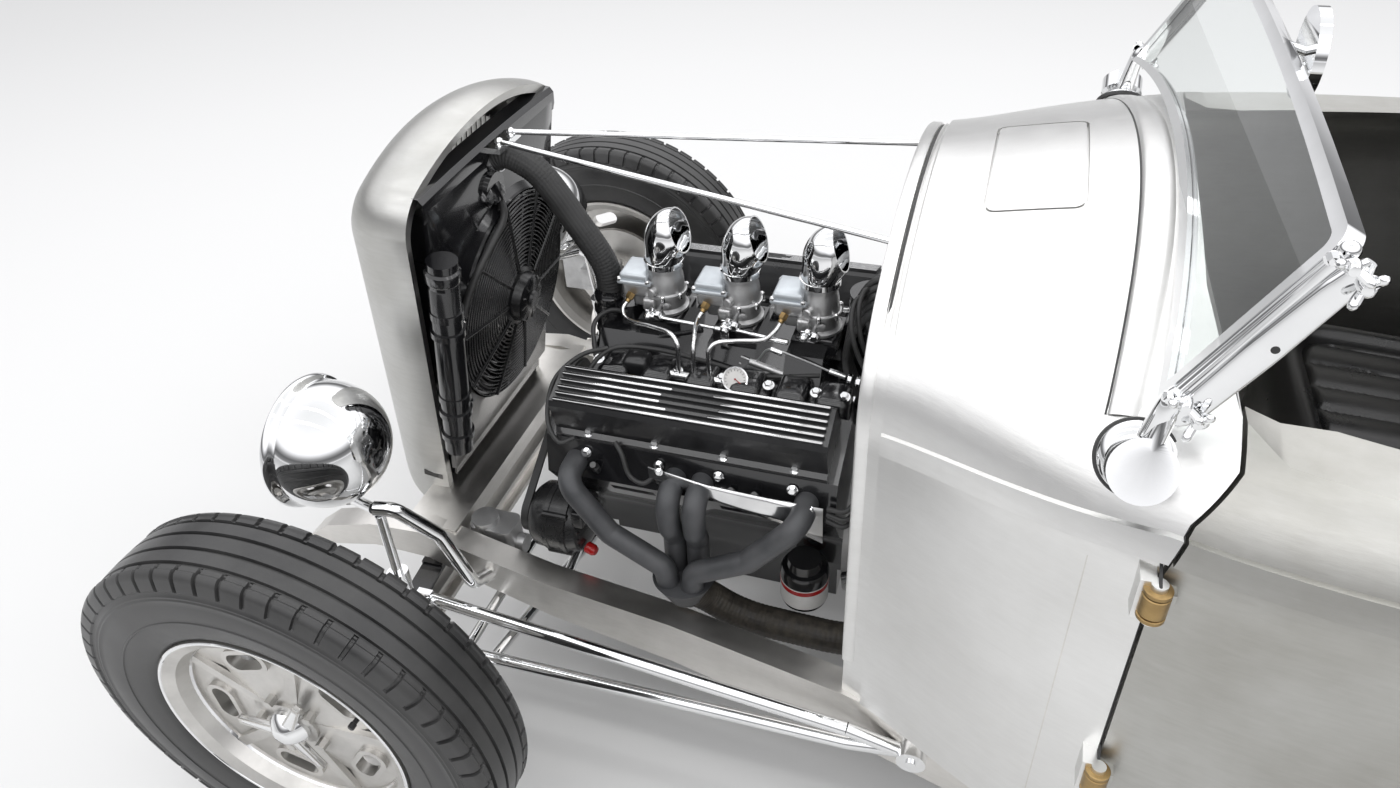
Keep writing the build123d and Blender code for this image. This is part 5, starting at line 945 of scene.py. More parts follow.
PIPE_RUN = ((314, 515, 384), (314, 515, 350), (288, 519, 332), (262, 530, 296), (250, 600, 240),
            (250, 760, 236), (240, 860, 231))
for side, sign in SIDES:
    corners = [at(sign * x, d, z) for x, d, z in PIPE_RUN]
    line = bent_path(corners, (0.028, 0.040, 0.060, 0.150, 0.150), 0.0018)
    line = line[line[:, 2] < 0.346]
    piece(f"pipe_wrap_{side}", [knitted(line, 0.0292, 0.009, 9, 0.0008, (1.0, 0.02, 0.0))], wrap_cloth)

# %% [markdown]
# ## Heat shield
# A strip of plain sheet runs along the spark plugs, with a tab bent down at its rear end.

# %% Heat shield
outline_top = [(300, 460, 628), (300, 560, 610), (300, 660, 606), (300, 755, 606)]
outline_low = [(304, 462, 608), (304, 590, 578), (304, 690, 560), (304, 757, 532)]
rows = []
for top, low in zip(outline_top, outline_low):
    top, low = at(*top), at(*low)
    rows.append([top + (low - top) * s for s in np.linspace(0, 1, 5)])
shield = piece("plug_shield", [quads_of(np.array(rows))], bright_alloy)
thick = shield.modifiers.new("sheet", "SOLIDIFY")
thick.thickness = 0.0016
for number, place in enumerate(((300, 480, 622), (300, 735, 600))):
    piece(f"shield_bolt_{number}", bolt(at(*place) + (0.001, 0, 0), (1, 0, 0.3), 0.009, 0.006), chrome)

# %% [markdown]
# ## Carburettors
# Three two-barrel carburettors stand in a row: a black heat block, a flanged throttle body, a
# round main body, and a square float bowl on the front side whose lid has a screw in each corner.
# All are cast alloy, so the parts are turned or rounded boxes with small screws between them.

# %% Carburettor bodies
CARBURETTOR_PLACES = (398, 539, 680)
for number, distance in enumerate(CARBURETTOR_PLACES):
    centre = at(0, distance, 742)
    up = (0, 0, 1)
    block = [slab(centre + (-0.040, -0.034, -0.012), centre + (0.040, 0.034, 0.004), 0.004)]
    piece(f"heat_block_{number}", block, gloss_black)
    body = [turned([(0.004, 0), (0.004, 0.038), (0.006, 0.0405), (0.011, 0.0405), (0.013, 0.037),
                    (0.016, 0.0345), (0.036, 0.0335), (0.039, 0.036), (0.0395, 0.0385), (0.0445, 0.0385),
                    (0.045, 0.036), (0.047, 0.0345), (0.064, 0.0340), (0.074, 0.0325), (0.080, 0.0305),
                    (0.088, 0.0305), (0.090, 0.0335), (0.102, 0.0335), (0.102, 0.026), (0.08, 0.024),
                    (0.08, 0.0)], centre, up, 64)]
    body.append(slab(centre + (-0.030, -0.074, 0.034), centre + (0.031, -0.020, 0.064), 0.007))
    body.append(slab(centre + (-0.014, -0.060, 0.006), centre + (0.016, -0.020, 0.040), 0.006))
    body.append(slab(centre + (-0.050, -0.011, 0.004), centre + (0.050, 0.011, 0.013), 0.004))
    body.append(slab(centre + (0.026, -0.032, 0.016), centre + (0.043, -0.008, 0.040), 0.005))
    body.append(rod(centre + (0.0, 0.0, 0.054), centre + (0.042, -0.014, 0.054), 0.0085))
    body.append(rod(centre + (-0.056, 0, 0.022), centre + (0.060, 0, 0.022), 0.0045))
    body.append(turned([(0, 0), (0, 0.0075), (0.004, 0.0075), (0.005, 0.006), (0.005, 0)],
                       centre + (0.0335, 0.012, 0.027), (1, 0.3, 0), 20))
    lid = [slab(centre + (-0.035, -0.080, 0.062), centre + (0.037, -0.016, 0.070), 0.003),
           slab(centre + (-0.031, -0.076, 0.068), centre + (0.033, -0.022, 0.083), 0.005),
           slab(centre + (-0.020, -0.036, 0.068), centre + (0.022, -0.006, 0.081), 0.006)]
    piece(f"bowl_lid_{number}", lid, lid_alloy)
    piece(f"carburettor_{number}", body, cast_alloy, replaces=("carburettors",) if number == 0 else ())
    screws = []
    screw_head = [(0, 0), (0, 0.0046), (0.004, 0.0044), (0.006, 0.0026), (0.006, 0)]
    for dx, dy in ((-0.031, -0.076), (0.033, -0.076), (-0.031, -0.020), (0.034, -0.022)):
        screws.append(turned(screw_head, centre + (dx, dy, 0.069), up, 14))
    for angle in (10, 60, 120, 180, 300):
        t = math.radians(angle)
        screws.append(turned([(-0.006, 0), (-0.006, 0.0042), (0.004, 0.0042), (0.006, 0.002), (0.006, 0)],
                             centre + (0.0385 * math.cos(t), 0.0385 * math.sin(t), 0.043), up, 12))
    for dx in (0.043, -0.043):
        screws += bolt(centre + (dx, 0, 0.016), up, 0.010, 0.006)
    piece(f"carburettor_screws_{number}", screws, bright_alloy)
    elbow = centre + (0.036, -0.052, 0.046)
    way = np.array([0.62, -0.30, -0.60])
    nut = bolt(elbow, way, 0.014, 0.012, False) + [rod(elbow, elbow + way * 0.020, 0.0052)]
    piece(f"fuel_fitting_{number}", nut, brass)

# %% [markdown]
# ## Air scoops
# A bright scoop sits on each carburettor's neck and opens to the rear in a nearly round mouth.
# It is a stack of circles that grow and tip back. The same stack, a little smaller and walked
# back down, makes the inside.

# %% Air scoops
SCOOP_PATH = [(0, 0, 0), (0, 0.002, 0.017), (0, 0.0065, 0.037), (0, 0.0145, 0.0535), (0, 0.0245, 0.062),
              (0, 0.034, 0.064)]
SCOOP_SHAPE = [(0, 0.033, 0.033), (18, 0.039, 0.035), (28, 0.043, 0.0403), (42, 0.0435, 0.0425),
               (57, 0.042, 0.0416), (70.6, 0.0385, 0.0392)]
for number, distance in enumerate(CARBURETTOR_PLACES):
    base = at(0, distance, 842)
    t = circle(72)
    path, shape = smooth_path(SCOOP_PATH, 26), smooth_path(SCOOP_SHAPE, 26)
    rows = []
    order = [(k, 0.0) for k in range(26)] + [(25, -0.0012)] + [(k, 0.0016) for k in range(25, -1, -1)]
    for k, skin in order:
        lean = math.radians(shape[k, 0])
        way_y = np.array([0, math.cos(lean), -math.sin(lean)])
        point = 1 + 0.06 * (k / 25) ** 2 * np.maximum(-np.sin(t), 0)
        wide, high = (shape[k, 1] - skin) * np.cos(t), (shape[k, 2] - skin) * np.sin(t) * point
        rows.append(base + path[k] + wide[:, None] * np.array([1.0, 0, 0]) + high[:, None] * way_y)
    scoop = [quads_of(np.array(rows), wrap_columns=True)]
    ring = turned([(-0.004, 0.0325), (-0.004, 0.036), (0.006, 0.036), (0.008, 0.0325)], base, (0, 0, 1), 48)
    piece(f"air_scoop_{number}", scoop + [ring], chrome, replaces=("air_scoops",) if number == 0 else ())

# %% [markdown]
# ## Fuel log
# A bright tube beside the manifold feeds the three carburettors through thin bent lines, and a
# round dial stands at its rear end. The dial is bare but for plain tick marks and a hand.

# %% Fuel log, lines and dial
LOG = ((130, 430, 693), (130, 545, 693))
log_start, log_end = at(*LOG[0]), at(*LOG[1])
log_run = log_end - log_start
fuel = [rod(log_start, log_end, 0.0085, 20)]
fuel += [rod(log_start + log_run * s, log_start + log_run * (s + 0.045), 0.0105, 6) for s in (0.0, 0.95)]
LINES = (
    ((40, 342, 778), (56, 334, 765), (76, 352, 757), (98, 410, 764), (114, 444, 768), (127, 461, 758),
     (130, 462, 736),
     (130, 462, 696)),
    ((40, 483, 778), (56, 476, 766), (84, 480, 766), (110, 486, 764), (125, 489, 752), (130, 490, 730),
     (130, 490, 696)),
    ((40, 624, 778), (58, 616, 765), (80, 598, 757), (102, 560, 764), (118, 530, 766), (128, 518, 756),
     (130, 517, 734),
     (130, 517, 696)),
)
for row in LINES:
    fuel.append(tube(route(row, 60), 0.0042, 12, (1.0, 0.2, 0.1)))
piece("fuel_log", fuel, bright_alloy, replaces=("fuel_lines",))
DIAL = at(136, 565, 708)
DIAL_WAY = unit(np.array([0.66, 0.22, 0.72]))
case = [turned([(-0.020, 0), (-0.020, 0.018), (-0.004, 0.021), (0.002, 0.0225), (0.004, 0.0220),
                (0.003, 0.0195), (0.0, 0.0190)], DIAL, DIAL_WAY, 48),
        rod(log_end, DIAL - DIAL_WAY * 0.012, 0.006)]
piece("dial_case", case, chrome)
piece("dial_face", [turned([(0.0, 0.0193), (0.0005, 0.0)], DIAL, DIAL_WAY, 48)], white_enamel)
dial_x = unit(np.cross(DIAL_WAY, (0, 0, 1.0)))
dial_y = np.cross(dial_x, DIAL_WAY)
ticks = []
for number in range(13):
    t = math.radians(-120 + 20 * number)
    way = math.sin(t) * dial_x - math.cos(t) * -dial_y
    face_centre = DIAL + DIAL_WAY * 0.001
    ticks.append(rod(face_centre + way * 0.0145, face_centre + way * 0.0178, 0.0004, 4))
piece("dial_ticks", ticks, satin_black)
hand = [rod(DIAL + DIAL_WAY * 0.0015, DIAL + DIAL_WAY * 0.0015 - dial_x * 0.009 - dial_y * 0.008, 0.0007, 6),
        rod(DIAL, DIAL + DIAL_WAY * 0.003, 0.0016, 12)]
piece("dial_hand", hand, red_plastic)

# %% [markdown]
# ## Linkage, leads and cables
# Rods join the throttle levers, a spring pulls them back, and black leads run to the spark plugs.
# They are fixed at both ends, so each is a smooth tube through the places that it passes.

# %% Throttle linkage
linkage = [rod(at(62, 382, 763), at(62, 534, 754), 0.0034), rod(at(62, 525, 760), at(62, 640, 746), 0.0034)]
for first, last in ((382, 410), (508, 534), (600, 640)):
    linkage.append(rod(at(62, first, 763 - (first - 382) * 0.062), at(62, last, 763 - (last - 382) * 0.062),
                       0.0052, 12))
for distance in CARBURETTOR_PLACES:
    linkage.append(rod(at(52, distance - 2, 764), at(62, distance - 8, 776), 0.005, 8))
    linkage.append(ball(at(62, distance - 14, 760), 0.0075))
    linkage += bolt(at(60, distance + 4, 764), (1, 0, 0), 0.012, 0.007)
    linkage.append(slab(at(56, distance - 20, 750), at(59, distance + 6, 772), 0.0013))
linkage.append(slab(at(67, 520, 704), at(70, 536, 766), 0.0014))
linkage += bolt(at(71, 528, 758), (1, 0, 0), 0.010, 0.005)
for start, end in (((80, 612, 741), (80, 634, 735)), ((80, 715, 713), (80, 745, 706)),
                   ((80, 724, 668), (80, 752, 664))):
    linkage.append(rod(at(*start), at(*end), 0.0055, 16))
for place in ((80, 748, 705), (80, 756, 664)):
    linkage += bolt(at(*place), (0, 1, -0.2), 0.014, 0.008)
    linkage += bolt(at(place[0], place[1] + 14, place[2] - 3), (0, 1, -0.2), 0.016, 0.009)
piece("throttle_linkage", linkage, chrome)
piece("throttle_spring_rod", [rod(at(80, 574, 709), at(80, 690, 676), 0.0062, 16),
                              rod(at(80, 684, 678), at(80, 700, 673), 0.0078, 16)], cast_alloy)
turns = np.linspace(0, 2 * math.pi * 44, 900)
spring_line = at(64, 362, 706) + np.linspace(0, 1, 900)[:, None] * (at(64, 486, 749) - at(64, 362, 706))
spring_line = spring_line + 0.0036 * np.stack([np.cos(turns), -0.3 * np.sin(turns), np.sin(turns)], 1)
piece("throttle_spring", [tube(spring_line, 0.0012, 6, (1.0, 0.1, 0.2))], satin_black)
cables = [tube(route(row, 50), 0.0019, 10) for row in (
    ((80, 560, 716), (80, 588, 712), (80, 612, 741), (80, 664, 730), (80, 715, 713)),
    ((80, 556, 702), (80, 575, 692), (80, 641, 670), (80, 690, 664), (80, 724, 668)))]
piece("throttle_cables", cables, cast_alloy)
bundle = []
for k in range(5):
    wire = ((24 + k * 9, 812, 850 - 6 * k), (26 + k * 9, 782, 872 - 10 * k), (30 + k * 9, 756, 840 - 12 * k),
            (34 + k * 8, 742, 780 - 6 * k), (36 + k * 8, 744, 710), (46 + k * 8, 770, 650))
    bundle.append(tube(route(wire, 60), 0.0062, 14))
piece("wire_bundle", bundle, hose_rubber)
lumps = [slab(at(112, 590, 650), at(152, 628, 694), 0.010), slab(at(96, 636, 640), at(150, 676, 690), 0.012),
         slab(at(112, 690, 640), at(158, 730, 676), 0.012), slab(at(96, 356, 650), at(140, 404, 716), 0.012)]
piece("manifold_lumps", lumps, satin_black)

LEADS = (
    ((170, 300, 690), (142, 318, 716), (120, 350, 728), (104, 420, 722), (96, 500, 706), (92, 600, 690),
     (80, 700, 700)),
    ((276, 318, 640), (292, 296, 640), (270, 270, 668), (214, 262, 706), (160, 290, 726), (128, 330, 728)),
    ((120, 300, 700), (78, 284, 738), (44, 300, 748), (30, 330, 742)),
    ((292, 470, 604), (302, 450, 590), (300, 425, 600), (288, 410, 632), (278, 395, 650)),
    ((60, 800, 700), (84, 790, 740), (92, 770, 790), (80, 760, 838), (50, 762, 860), (20, 775, 850)),
    ((70, 800, 690), (100, 786, 730), (108, 764, 784), (96, 752, 826), (64, 752, 850), (30, 770, 846)),
    ((50, 806, 690), (66, 800, 740), (72, 784, 786), (60, 770, 822), (36, 772, 840)),
    ((292, 760, 600), (290, 790, 600), (260, 806, 610)),
    ((292, 760, 588), (294, 792, 586), (262, 806, 592)),
    ((292, 760, 574), (296, 790, 572), (264, 806, 576)),
)
leads = [tube(route(row, 70), 0.0042, 12, (0.3, 0.2, 0.9)) for row in LEADS]
piece("plug_leads", leads, hose_rubber)
boot = [(0, 0), (0, 0.006), (0.022, 0.0075), (0.024, 0.0055), (0.034, 0.0055), (0.034, 0)]
booted = []
for distance in (318, 356, 470, 500, 600, 640, 724):
    tip, root = at(296, distance, 606), at(276, distance, 574)
    booted.append(turned(boot, root, tip - root, 16))
piece("plug_boots", booted, satin_black)

# %% [markdown]
# ## Engine furniture
# The alternator's case has slotted ends and a red terminal cap. The oil filter is a plain black
# can with a white band, its own print left off.

# %% Alternator dress
ALT = at(238, 262, 400)
case = [turned([(-0.066, 0), (-0.066, 0.030), (-0.062, 0.052), (-0.050, 0.062), (-0.030, 0.064),
                (-0.029, 0.0655), (-0.020, 0.0655), (-0.019, 0.064), (0.006, 0.064), (0.007, 0.0665),
                (0.016, 0.0665), (0.017, 0.063), (0.034, 0.058), (0.042, 0.046), (0.046, 0.030), (0.046, 0)],
               ALT, (0, 1, 0), 64)]
for number in range(20):
    t = 2 * math.pi * number / 20
    way = np.array([math.cos(t), 0, math.sin(t)])
    case.append(rod(ALT + way * 0.036 + (0, 0.040, 0), ALT + way * 0.055 + (0, 0.0355, 0), 0.0034, 8))
for number in range(4):
    t = math.radians(45 + 90 * number)
    way = np.array([math.cos(t), 0, math.sin(t)])
    case.append(rod(ALT + way * 0.064 + (0, -0.030, 0), ALT + way * 0.064 + (0, 0.020, 0), 0.0065, 10))
case.append(slab(ALT + (0.004, 0.030, 0.030), ALT + (0.052, 0.052, 0.066), 0.004))
piece("alternator_case", case, plastic_black, replaces=("alternator",))
piece("terminal_cap", [turned([(0, 0), (0, 0.011), (0.014, 0.011), (0.020, 0.008), (0.022, 0)],
                              ALT + (0.034, 0.046, -0.034), (0.25, 1, -0.1), 24)], red_plastic)
filter_body = at(196, 706, 268)
can = [turned([(0, 0), (0, 0.036), (0.004, 0.042), (0.010, 0.044), (0.080, 0.044), (0.086, 0.041),
               (0.088, 0.034), (0.104, 0.030), (0.104, 0)], filter_body, (0, 0, 1), 64)]
piece("oil_filter_can", can, gloss_black, replaces=("oil_filter",))
band_profile = [(0.012, 0.0441), (0.012, 0.0445), (0.060, 0.0445), (0.060, 0.0441)]
piece("oil_filter_band", [turned(band_profile, filter_body, (0, 0, 1), 64)], white_enamel)
stripe_profile = [(0.048, 0.0444), (0.048, 0.0448), (0.058, 0.0448), (0.058, 0.0444)]
piece("oil_filter_stripe", [turned(stripe_profile, filter_body, (0, 0, 1), 64)], red_plastic)

# %% [markdown]
# ## Runners and bolts
# The manifold's branches show as rounded blocks beside the carburettors, and rows of bright bolts
# hold the covers, the manifold and the header flanges.

# %% Manifold runners and bolts
runners = []
for sign in (1, -1):
    for distance in (340, 420, 500, 580, 660, 730):
        a, b = at(sign * 92, distance, 688), at(sign * 150, distance + 6, 674)
        runners.append(slab(np.minimum(a, b) - (0.006, 0.026, 0.040),
                            np.maximum(a, b) + (0.006, 0.026, 0.016), 0.014))
piece("manifold_runners", runners, gloss_black)
fasteners = []
for sign in (1, -1):
    for distance in (310, 376, 458, 540, 622, 704, 752):
        fasteners += bolt(at(sign * 128, distance, 700), (sign * 0.3, 0, 1), 0.013, 0.008)
    for distance in (338, 470, 575, 700):
        fasteners += bolt(at(sign * 276, distance, 612), (sign, 0, 0.25), 0.012, 0.008)
    for distance in (60, 180, 300, 420):
        fasteners += bolt(on_cover(sign, 50, 9, distance), (sign * 0.37, 0, 0.93), 0.011, 0.007)
piece("engine_bolts", fasteners, chrome)

# %% [markdown]
# ## Points on the body's skin
# Mouldings, seals and fittings have to lie on a doubly curved skin. A ray shot at the CAD mesh
# gives the true surface point and its outward direction, so no fitting floats or sinks.


# %% Skin points
skin_trees = {}


def skin_point(node, origin, direction):
    """First point of a CAD node along a ray, with its normal turned against the ray."""
    if node not in skin_trees:
        mesh = nodes[node].data
        skin_trees[node] = BVHTree.FromPolygons([v.co[:] for v in mesh.vertices],
                                                [p.vertices[:] for p in mesh.polygons])
    direction = unit(np.asarray(direction, float))
    place, normal, index, distance = skin_trees[node].ray_cast(Vector(origin), Vector(direction))
    if place is None:
        return None, None
    normal = np.array(normal)
    return np.array(place), normal if normal @ direction < 0 else -normal


def round_cowl(distance, angle):
    """Point and outward direction on the cowl, by an angle from straight up towards the left."""
    way = np.array([math.sin(angle), 0, math.cos(angle)])
    return skin_point("cowl", at(0, distance, 700) + way * 1.2, -way)


def band(distances, angles, profile):
    """Strip across the cowl; the profile's rows are (offset along the car, lift), in millimetres."""
    grid = []
    for distance, angle in zip(distances, angles):
        place, out = round_cowl(distance, angle)
        if place is None:
            continue
        out = unit(out * np.array([1, 0, 1]))
        grid.append([place + out * lift / 1000 + np.array([0, along / 1000, 0]) for along, lift in profile])
    return quads_of(np.array(grid))


# %% [markdown]
# ## Cowl mouldings
# The front edge of the cowl is stepped in to carry a hood. In the step lie a rolled flange, a
# black strip of painted shade in the groove behind it, and a small bead. A second rolled band runs
# under the windscreen, with a thin black line of painted shade at its foot.

# %% Cowl mouldings
AROUND = np.radians(np.linspace(-128, 128, 150))
FRONT_EDGE = np.full(len(AROUND), 820.0)
flange = [(-5, -5), (-6, 0), (-5, 4.5), (-2, 6.4), (10, 6.4), (13, 5.2), (14.5, 2), (14.5, 0.2)]
# A black strip between flange and bead paints the shade of the groove there.
groove_shade_strip = [(14.5, 0.2), (15, 2.4), (18.4, 2.4), (19, 0.2)]
small_bead = [(19, 0.2), (19.5, 3.4), (21.5, 4.8), (23.5, 3.4), (24, 0.6)]
step_bead = [(27, 0.6), (27.6, 4.0), (29, 6.4), (31, 7.6)]
piece("cowl_flange", [band(FRONT_EDGE, AROUND, rows) for rows in (flange, small_bead, step_bead)], cowl_steel_painted_light)
piece("cowl_groove_shade", [band(FRONT_EDGE, AROUND, groove_shade_strip)], hose_rubber)

SCREEN_LEAN = math.radians(29)
SCREEN_UP = np.array([0, math.sin(SCREEN_LEAN), math.cos(SCREEN_LEAN)])
SCREEN_REAR = np.array([0, math.cos(SCREEN_LEAN), -math.sin(SCREEN_LEAN)])


def on_screen(x, up_glass, rearward=0.0):
    """Point in the windscreen's leaning frame, from millimetres."""
    return at(x, 1150, 1066) + (SCREEN_UP * up_glass + SCREEN_REAR * rearward) / 1000


def screen_foot(angle):
    """Distance of the windscreen's foot at an angle round the cowl: it arches forward at the sides."""
    place, out = round_cowl(1150, angle)
    x = min(abs(place[0]) * 1000, 516)
    return 1150 + 33 * (1 - (x / 516) ** 2)


SCREEN_BAND = [(2, 0.1), (3.5, 2.6), (7, 5.6), (14, 7.4), (28, 8.0), (38, 7.0), (43, 4.5), (44, 0.1)]
# A thin black line at the band's foot paints the shade of the fillet between cowl and band.
SCREEN_SHADE_LINE = [(-0.8, 0.05), (-0.5, 0.5), (1.8, 0.5), (2.2, 0.05)]
REAR_ANGLES = np.radians(np.linspace(-57, 57, 90))
REAR_EDGE = np.array([screen_foot(angle) - 52 for angle in REAR_ANGLES])
piece("cowl_rear_band", [band(REAR_EDGE, REAR_ANGLES, SCREEN_BAND)], cowl_steel_painted_light)
piece("cowl_rear_shade_line", [band(REAR_EDGE, REAR_ANGLES, SCREEN_SHADE_LINE)], hose_rubber)

seam = [skin_point("cowl", at(900, 1108, z), (-1, 0, 0)) for z in np.linspace(372, 872, 60)]
seam = [(place, out) for place, out in seam if place is not None]
WELD_SECTION = ((-0.0011, 0), (0, 0.0004), (0.0011, 0))
seam_rows = [[place + out * lift + np.array([0, along, 0]) for along, lift in WELD_SECTION]
             for place, out in seam]
piece("cowl_weld_line", [quads_of(np.array(seam_rows))], frame_steel_painted_light)

# %% [markdown]
# ## Door seals and hinges
# A black rubber seal fills the gap ahead of each door. The brass barrels are split like the real
# ones: the outer ends belong to the cowl and the middle turns with the door.

# %% Seals and brass hinges
def hinge_ring(axis, low, high, edge):
    """Barrel of a hinge between two heights on its pin, chamfered to the radius edge at both ends."""
    profile = [(low, 0), (low, edge), (low + 0.001, 0.0155), (high - 0.001, 0.0155), (high, edge), (high, 0)]
    return turned(profile, axis, (0, 0, 1), 40)


SEAL_LINE = ((0, 345), (0, 600), (0, 880), (10, 915), (22, 950), (40, 976), (60, 1002), (64, 1040))
for side, sign in SIDES:
    rows = []
    for offset, z in smooth_path([(a, b, 0) for a, b in SEAL_LINE], 90)[:, :2]:
        way = np.array([-sign, 0, 0]) if z < 960 else np.array([-sign * 0.8, 0, -0.6])
        start = at(0, 1172 + offset, z) - way * 1.0
        start[0], start[2] = (sign * 0.9, z / 1000) if z < 960 else (start[0], start[2])
        place, out = skin_point("cowl", start - np.array([0, 0.001, 0]), way)
        if place is None or abs(place[0]) < 0.4:
            continue
        y = behind(1175.2 + offset)
        section = [(0.0, -0.0045), (0.0, -0.0008), (0.0016, 0.0008), (0.0034, -0.0004), (0.0034, -0.0045)]
        rows.append([np.array([place[0], y + along, place[2]]) - way * lift for along, lift in section])
    piece(f"door_seal_{side}", [quads_of(np.array(rows))], hose_rubber)
    for number, z in enumerate((524, 866)):
        axis = at(sign * 606, 1177.5, z)
        caps = [hinge_ring(axis, -0.023, -0.0162, 0.014), hinge_ring(axis, 0.0162, 0.023, 0.014)]
        barrel = [hinge_ring(axis, -0.0145, 0.0145, 0.0145)]
        piece(f"hinge_caps_{side}_{number}", caps, brass)
        piece(f"hinge_barrel_{side}_{number}", barrel, brass, f"door_{side}")
        pin = turned([(0.0229, 0), (0.0229, 0.006), (0.026, 0.0055), (0.0285, 0.003), (0.029, 0)], axis,
                     (0, 0, 1), 20)
        piece(f"hinge_pin_{side}_{number}", [pin], frame_steel_painted_light)

# %% [markdown]
# ## Windscreen fittings
# Each post stands on a polished oval foot with a black gasket. A wide polished blade braces the
# frame behind, with wing nuts at both ends.


# %% Windscreen fittings
EAR_PLACES = ((0.004, 0.003), (0.009, 0.010), (0.014, 0.016), (0.018, 0.019))
EAR_RADII = (0.0042, 0.0045, 0.0048, 0.005, 0.005, 0.0048, 0.004, 0.0015)


def wing_nut(centre, axis, wing):
    """Round hub with two rounded ears."""
    axis, wing = unit(np.asarray(axis, float)), unit(np.asarray(wing, float))
    hub = turned([(0, 0), (0, 0.008), (0.006, 0.0075), (0.011, 0.005), (0.012, 0)], centre, axis, 24)
    ears = []
    for sign in (1, -1):
        path = [centre + axis * a + wing * sign * b for a, b in EAR_PLACES]
        ears.append(tube(smooth_path(path, 8), EAR_RADII, 10, np.cross(axis, wing)))
    return [hub] + ears


BLADE = [(-6, 5, 4), (2, 11, 5), (24, 15, 6), (110, 17, 6), (196, 15, 6), (222, 11, 5), (232, 5, 4)]
for side, sign in SIDES:
    foot, out = skin_point("cowl", at(sign * 900, 1138, 1215), (-sign * 0.86, 0, -0.51))
    out = unit(np.array([sign * 0.80, 0, 0.60]))
    dome = turned([(-0.004, 0), (-0.004, 0.0425), (0.002, 0.0425), (0.006, 0.041), (0.012, 0.035),
                   (0.017, 0.026), (0.020, 0.014), (0.021, 0)], foot, out, 64)
    gasket = turned([(-0.006, 0.041), (-0.006, 0.0445), (-0.001, 0.0455), (0.002, 0.0445), (0.0025, 0.041)],
                    foot, out, 64)
    knee = on_screen(sign * 523, 4)
    arm_path = smooth_path([foot + out * 0.004, foot + out * 0.020 + np.array([0, 0.003, 0.008]),
                            (foot + knee) / 2 + out * 0.012, knee + out * 0.004, knee + SCREEN_UP * 0.02], 30)
    arm = tube(arm_path, np.interp(np.linspace(0, 1, 30), [0, 0.25, 0.6, 1], [0.024, 0.017, 0.0135, 0.012]),
               24, (0, 1, 0.2))
    heights, half_widths, half_depths = zip(*BLADE)
    stations = np.interp(np.linspace(0, 6, 50), range(7), heights)
    half_wide = np.interp(stations, heights, half_widths)
    half_thick = np.interp(stations, heights, half_depths)
    t = circle(32)
    rows = []
    for up_glass, wide, thick in zip(stations, half_wide, half_thick):
        ring = [on_screen(sign * (530 + thick * np.sign(math.sin(a)) * abs(math.sin(a)) ** 0.6), up_glass,
                          16 + wide * np.sign(math.cos(a)) * abs(math.cos(a)) ** 0.6) for a in t]
        rows.append(ring)
    rows = [[np.mean(rows[0], axis=0)] * 32] + rows + [[np.mean(rows[-1], axis=0)] * 32]
    blade = quads_of(np.array(rows), wrap_columns=True)
    piece(f"screen_foot_{side}", [dome], chrome)
    piece(f"screen_gasket_{side}", [gasket], hose_rubber)
    knobs = []
    for up_glass in (14, 214):
        knobs += wing_nut(on_screen(sign * 535, up_glass, 26), (sign, 0, 0), SCREEN_UP)
        knobs += wing_nut(on_screen(sign * 535, up_glass + 8, 4), (sign, 0, 0), SCREEN_REAR)
        for along in (-12, 30):
            knobs += bolt(on_screen(sign * 533, up_glass + 4, along), (sign, 0, 0), 0.010, 0.007)
        knobs.append(ball(on_screen(sign * 524, up_glass - 6, 38), 0.008))
    piece(f"screen_arm_{side}", [arm, blade] + knobs, chrome)
    # A thin black disc on the blade stands for its hole; the black is painted shade.
    hole_profile = [(0, 0), (0, 0.0042), (0.0004, 0.0042), (0.0006, 0)]
    hole = turned(hole_profile, on_screen(sign * 536, 120, 20), (sign, 0, 0), 20)
    piece(f"blade_hole_shade_{side}", [hole], hose_rubber)

# %% [markdown]
# ## Seat
# The bench has two cushions and a leaning back in black leather. Each is a closed rounded form
# with a thick roll round its edge and sewn channels that run away from the viewer inside it.


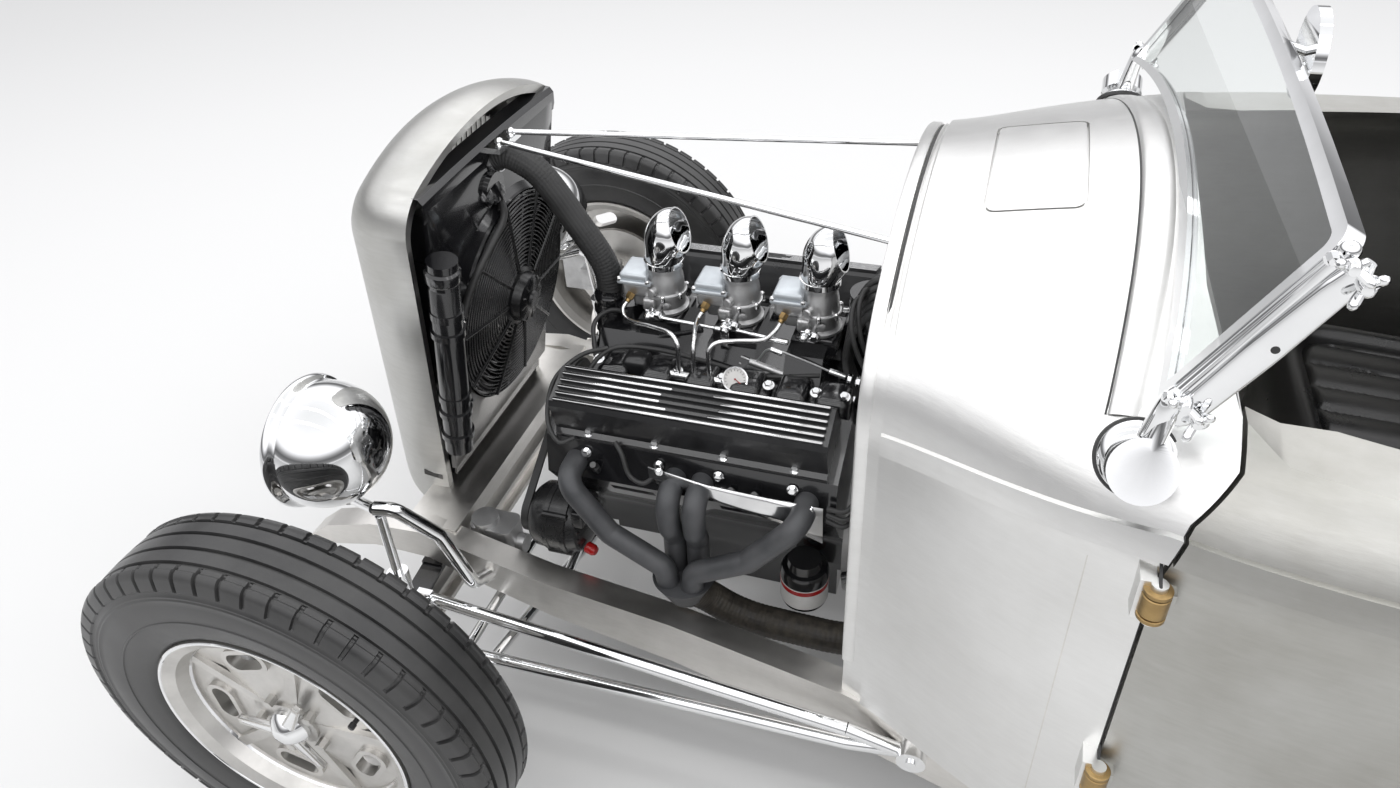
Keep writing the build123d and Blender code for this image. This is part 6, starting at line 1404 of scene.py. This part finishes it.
# %% Seat cushions
def cushion(origin, across, along, up, half_x, half_y, thick, roll, channels, rings=64, around=336):
    """Rings r of a superellipse from bottom middle over the edge to top middle, with h(x) channels on top."""
    t = circle(around)
    shape = (np.abs(np.cos(t)) ** 7 + np.abs(np.sin(t)) ** 7) ** (-1 / 7)
    edge_x, edge_y = half_x * shape * np.cos(t), half_y * shape * np.sin(t)
    soft = 0.030
    rows = []
    for f in np.linspace(0, 1, 7):
        rows.append((f * (1 - soft), np.full(around, -thick) + 0.010 * f**6))
    for a in np.linspace(0, 1, 12)[1:]:
        pull = 1 - soft + soft * math.sin(a * math.pi / 2) - 0.016 * math.sin(a * math.pi) ** 2
        rows.append((pull, np.full(around, -thick + 0.010 + a * (thick - 0.048))))
    for f in np.linspace(1, 0, rings)[1:]:
        edge = 1 - f
        lift = -0.038 + 0.038 * math.sqrt(max(0.0, 1 - max(0.0, 1 - edge / 0.10) ** 2))
        puff = roll * math.sin(min(edge / 0.22, 1.0) * math.pi) ** 0.8
        groove = -0.008 * math.exp(-((edge - 0.225) / 0.012) ** 2)
        x = f * edge_x
        wave = np.abs(np.sin(math.pi * channels * (x / half_x + 1) / 2)) ** 0.55
        fade = np.clip((edge - 0.235) / 0.03, 0, 1)
        rows.append((f, lift + puff + groove + fade * (0.010 * wave - 0.004) + 0.006 * (1 - f**2)))
    grid = [origin + f * edge_x[:, None] * across + f * edge_y[:, None] * along + height[:, None] * up
            for f, height in rows]
    return quads_of(np.array(grid), wrap_columns=True)


SEAT_UP = unit(np.array([0, 0.07, 1.0]))
SEAT_ALONG = unit(np.array([0, 1.0, -0.07]))
BACK_UP = unit(np.array([0, -0.978, 0.211]))
BACK_ALONG = unit(np.array([0, 0.211, 0.978]))
EAST = np.array([1.0, 0, 0])
SEAT_SIZES = (0.256, 0.262, 0.220, 0.020, 7)
BACK_SIZES = (0.256, 0.192, 0.105, 0.016, 7)
cushions, backs = [], []
for sign in (1, -1):
    cushions.append(cushion(at(sign * 258, 1748, 548), EAST, SEAT_ALONG, SEAT_UP, *SEAT_SIZES))
    backs.append(cushion(at(sign * 258, 2010, 738), EAST, BACK_ALONG, BACK_UP, *BACK_SIZES))
seat_pieces = (piece("seat_cushions", cushions, leather, replaces=("seat_base",)),
               piece("seat_backs", backs, leather, replaces=("seat_back",)))

# %% [markdown]
# ## Sizes
# The box round everything that shows is kept beside the box of the CAD nodes, so that a reader can
# see how little the dressing adds to the car's size.

# %% Sizes and the end
low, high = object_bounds()
print("whole car from", low, "to", high)
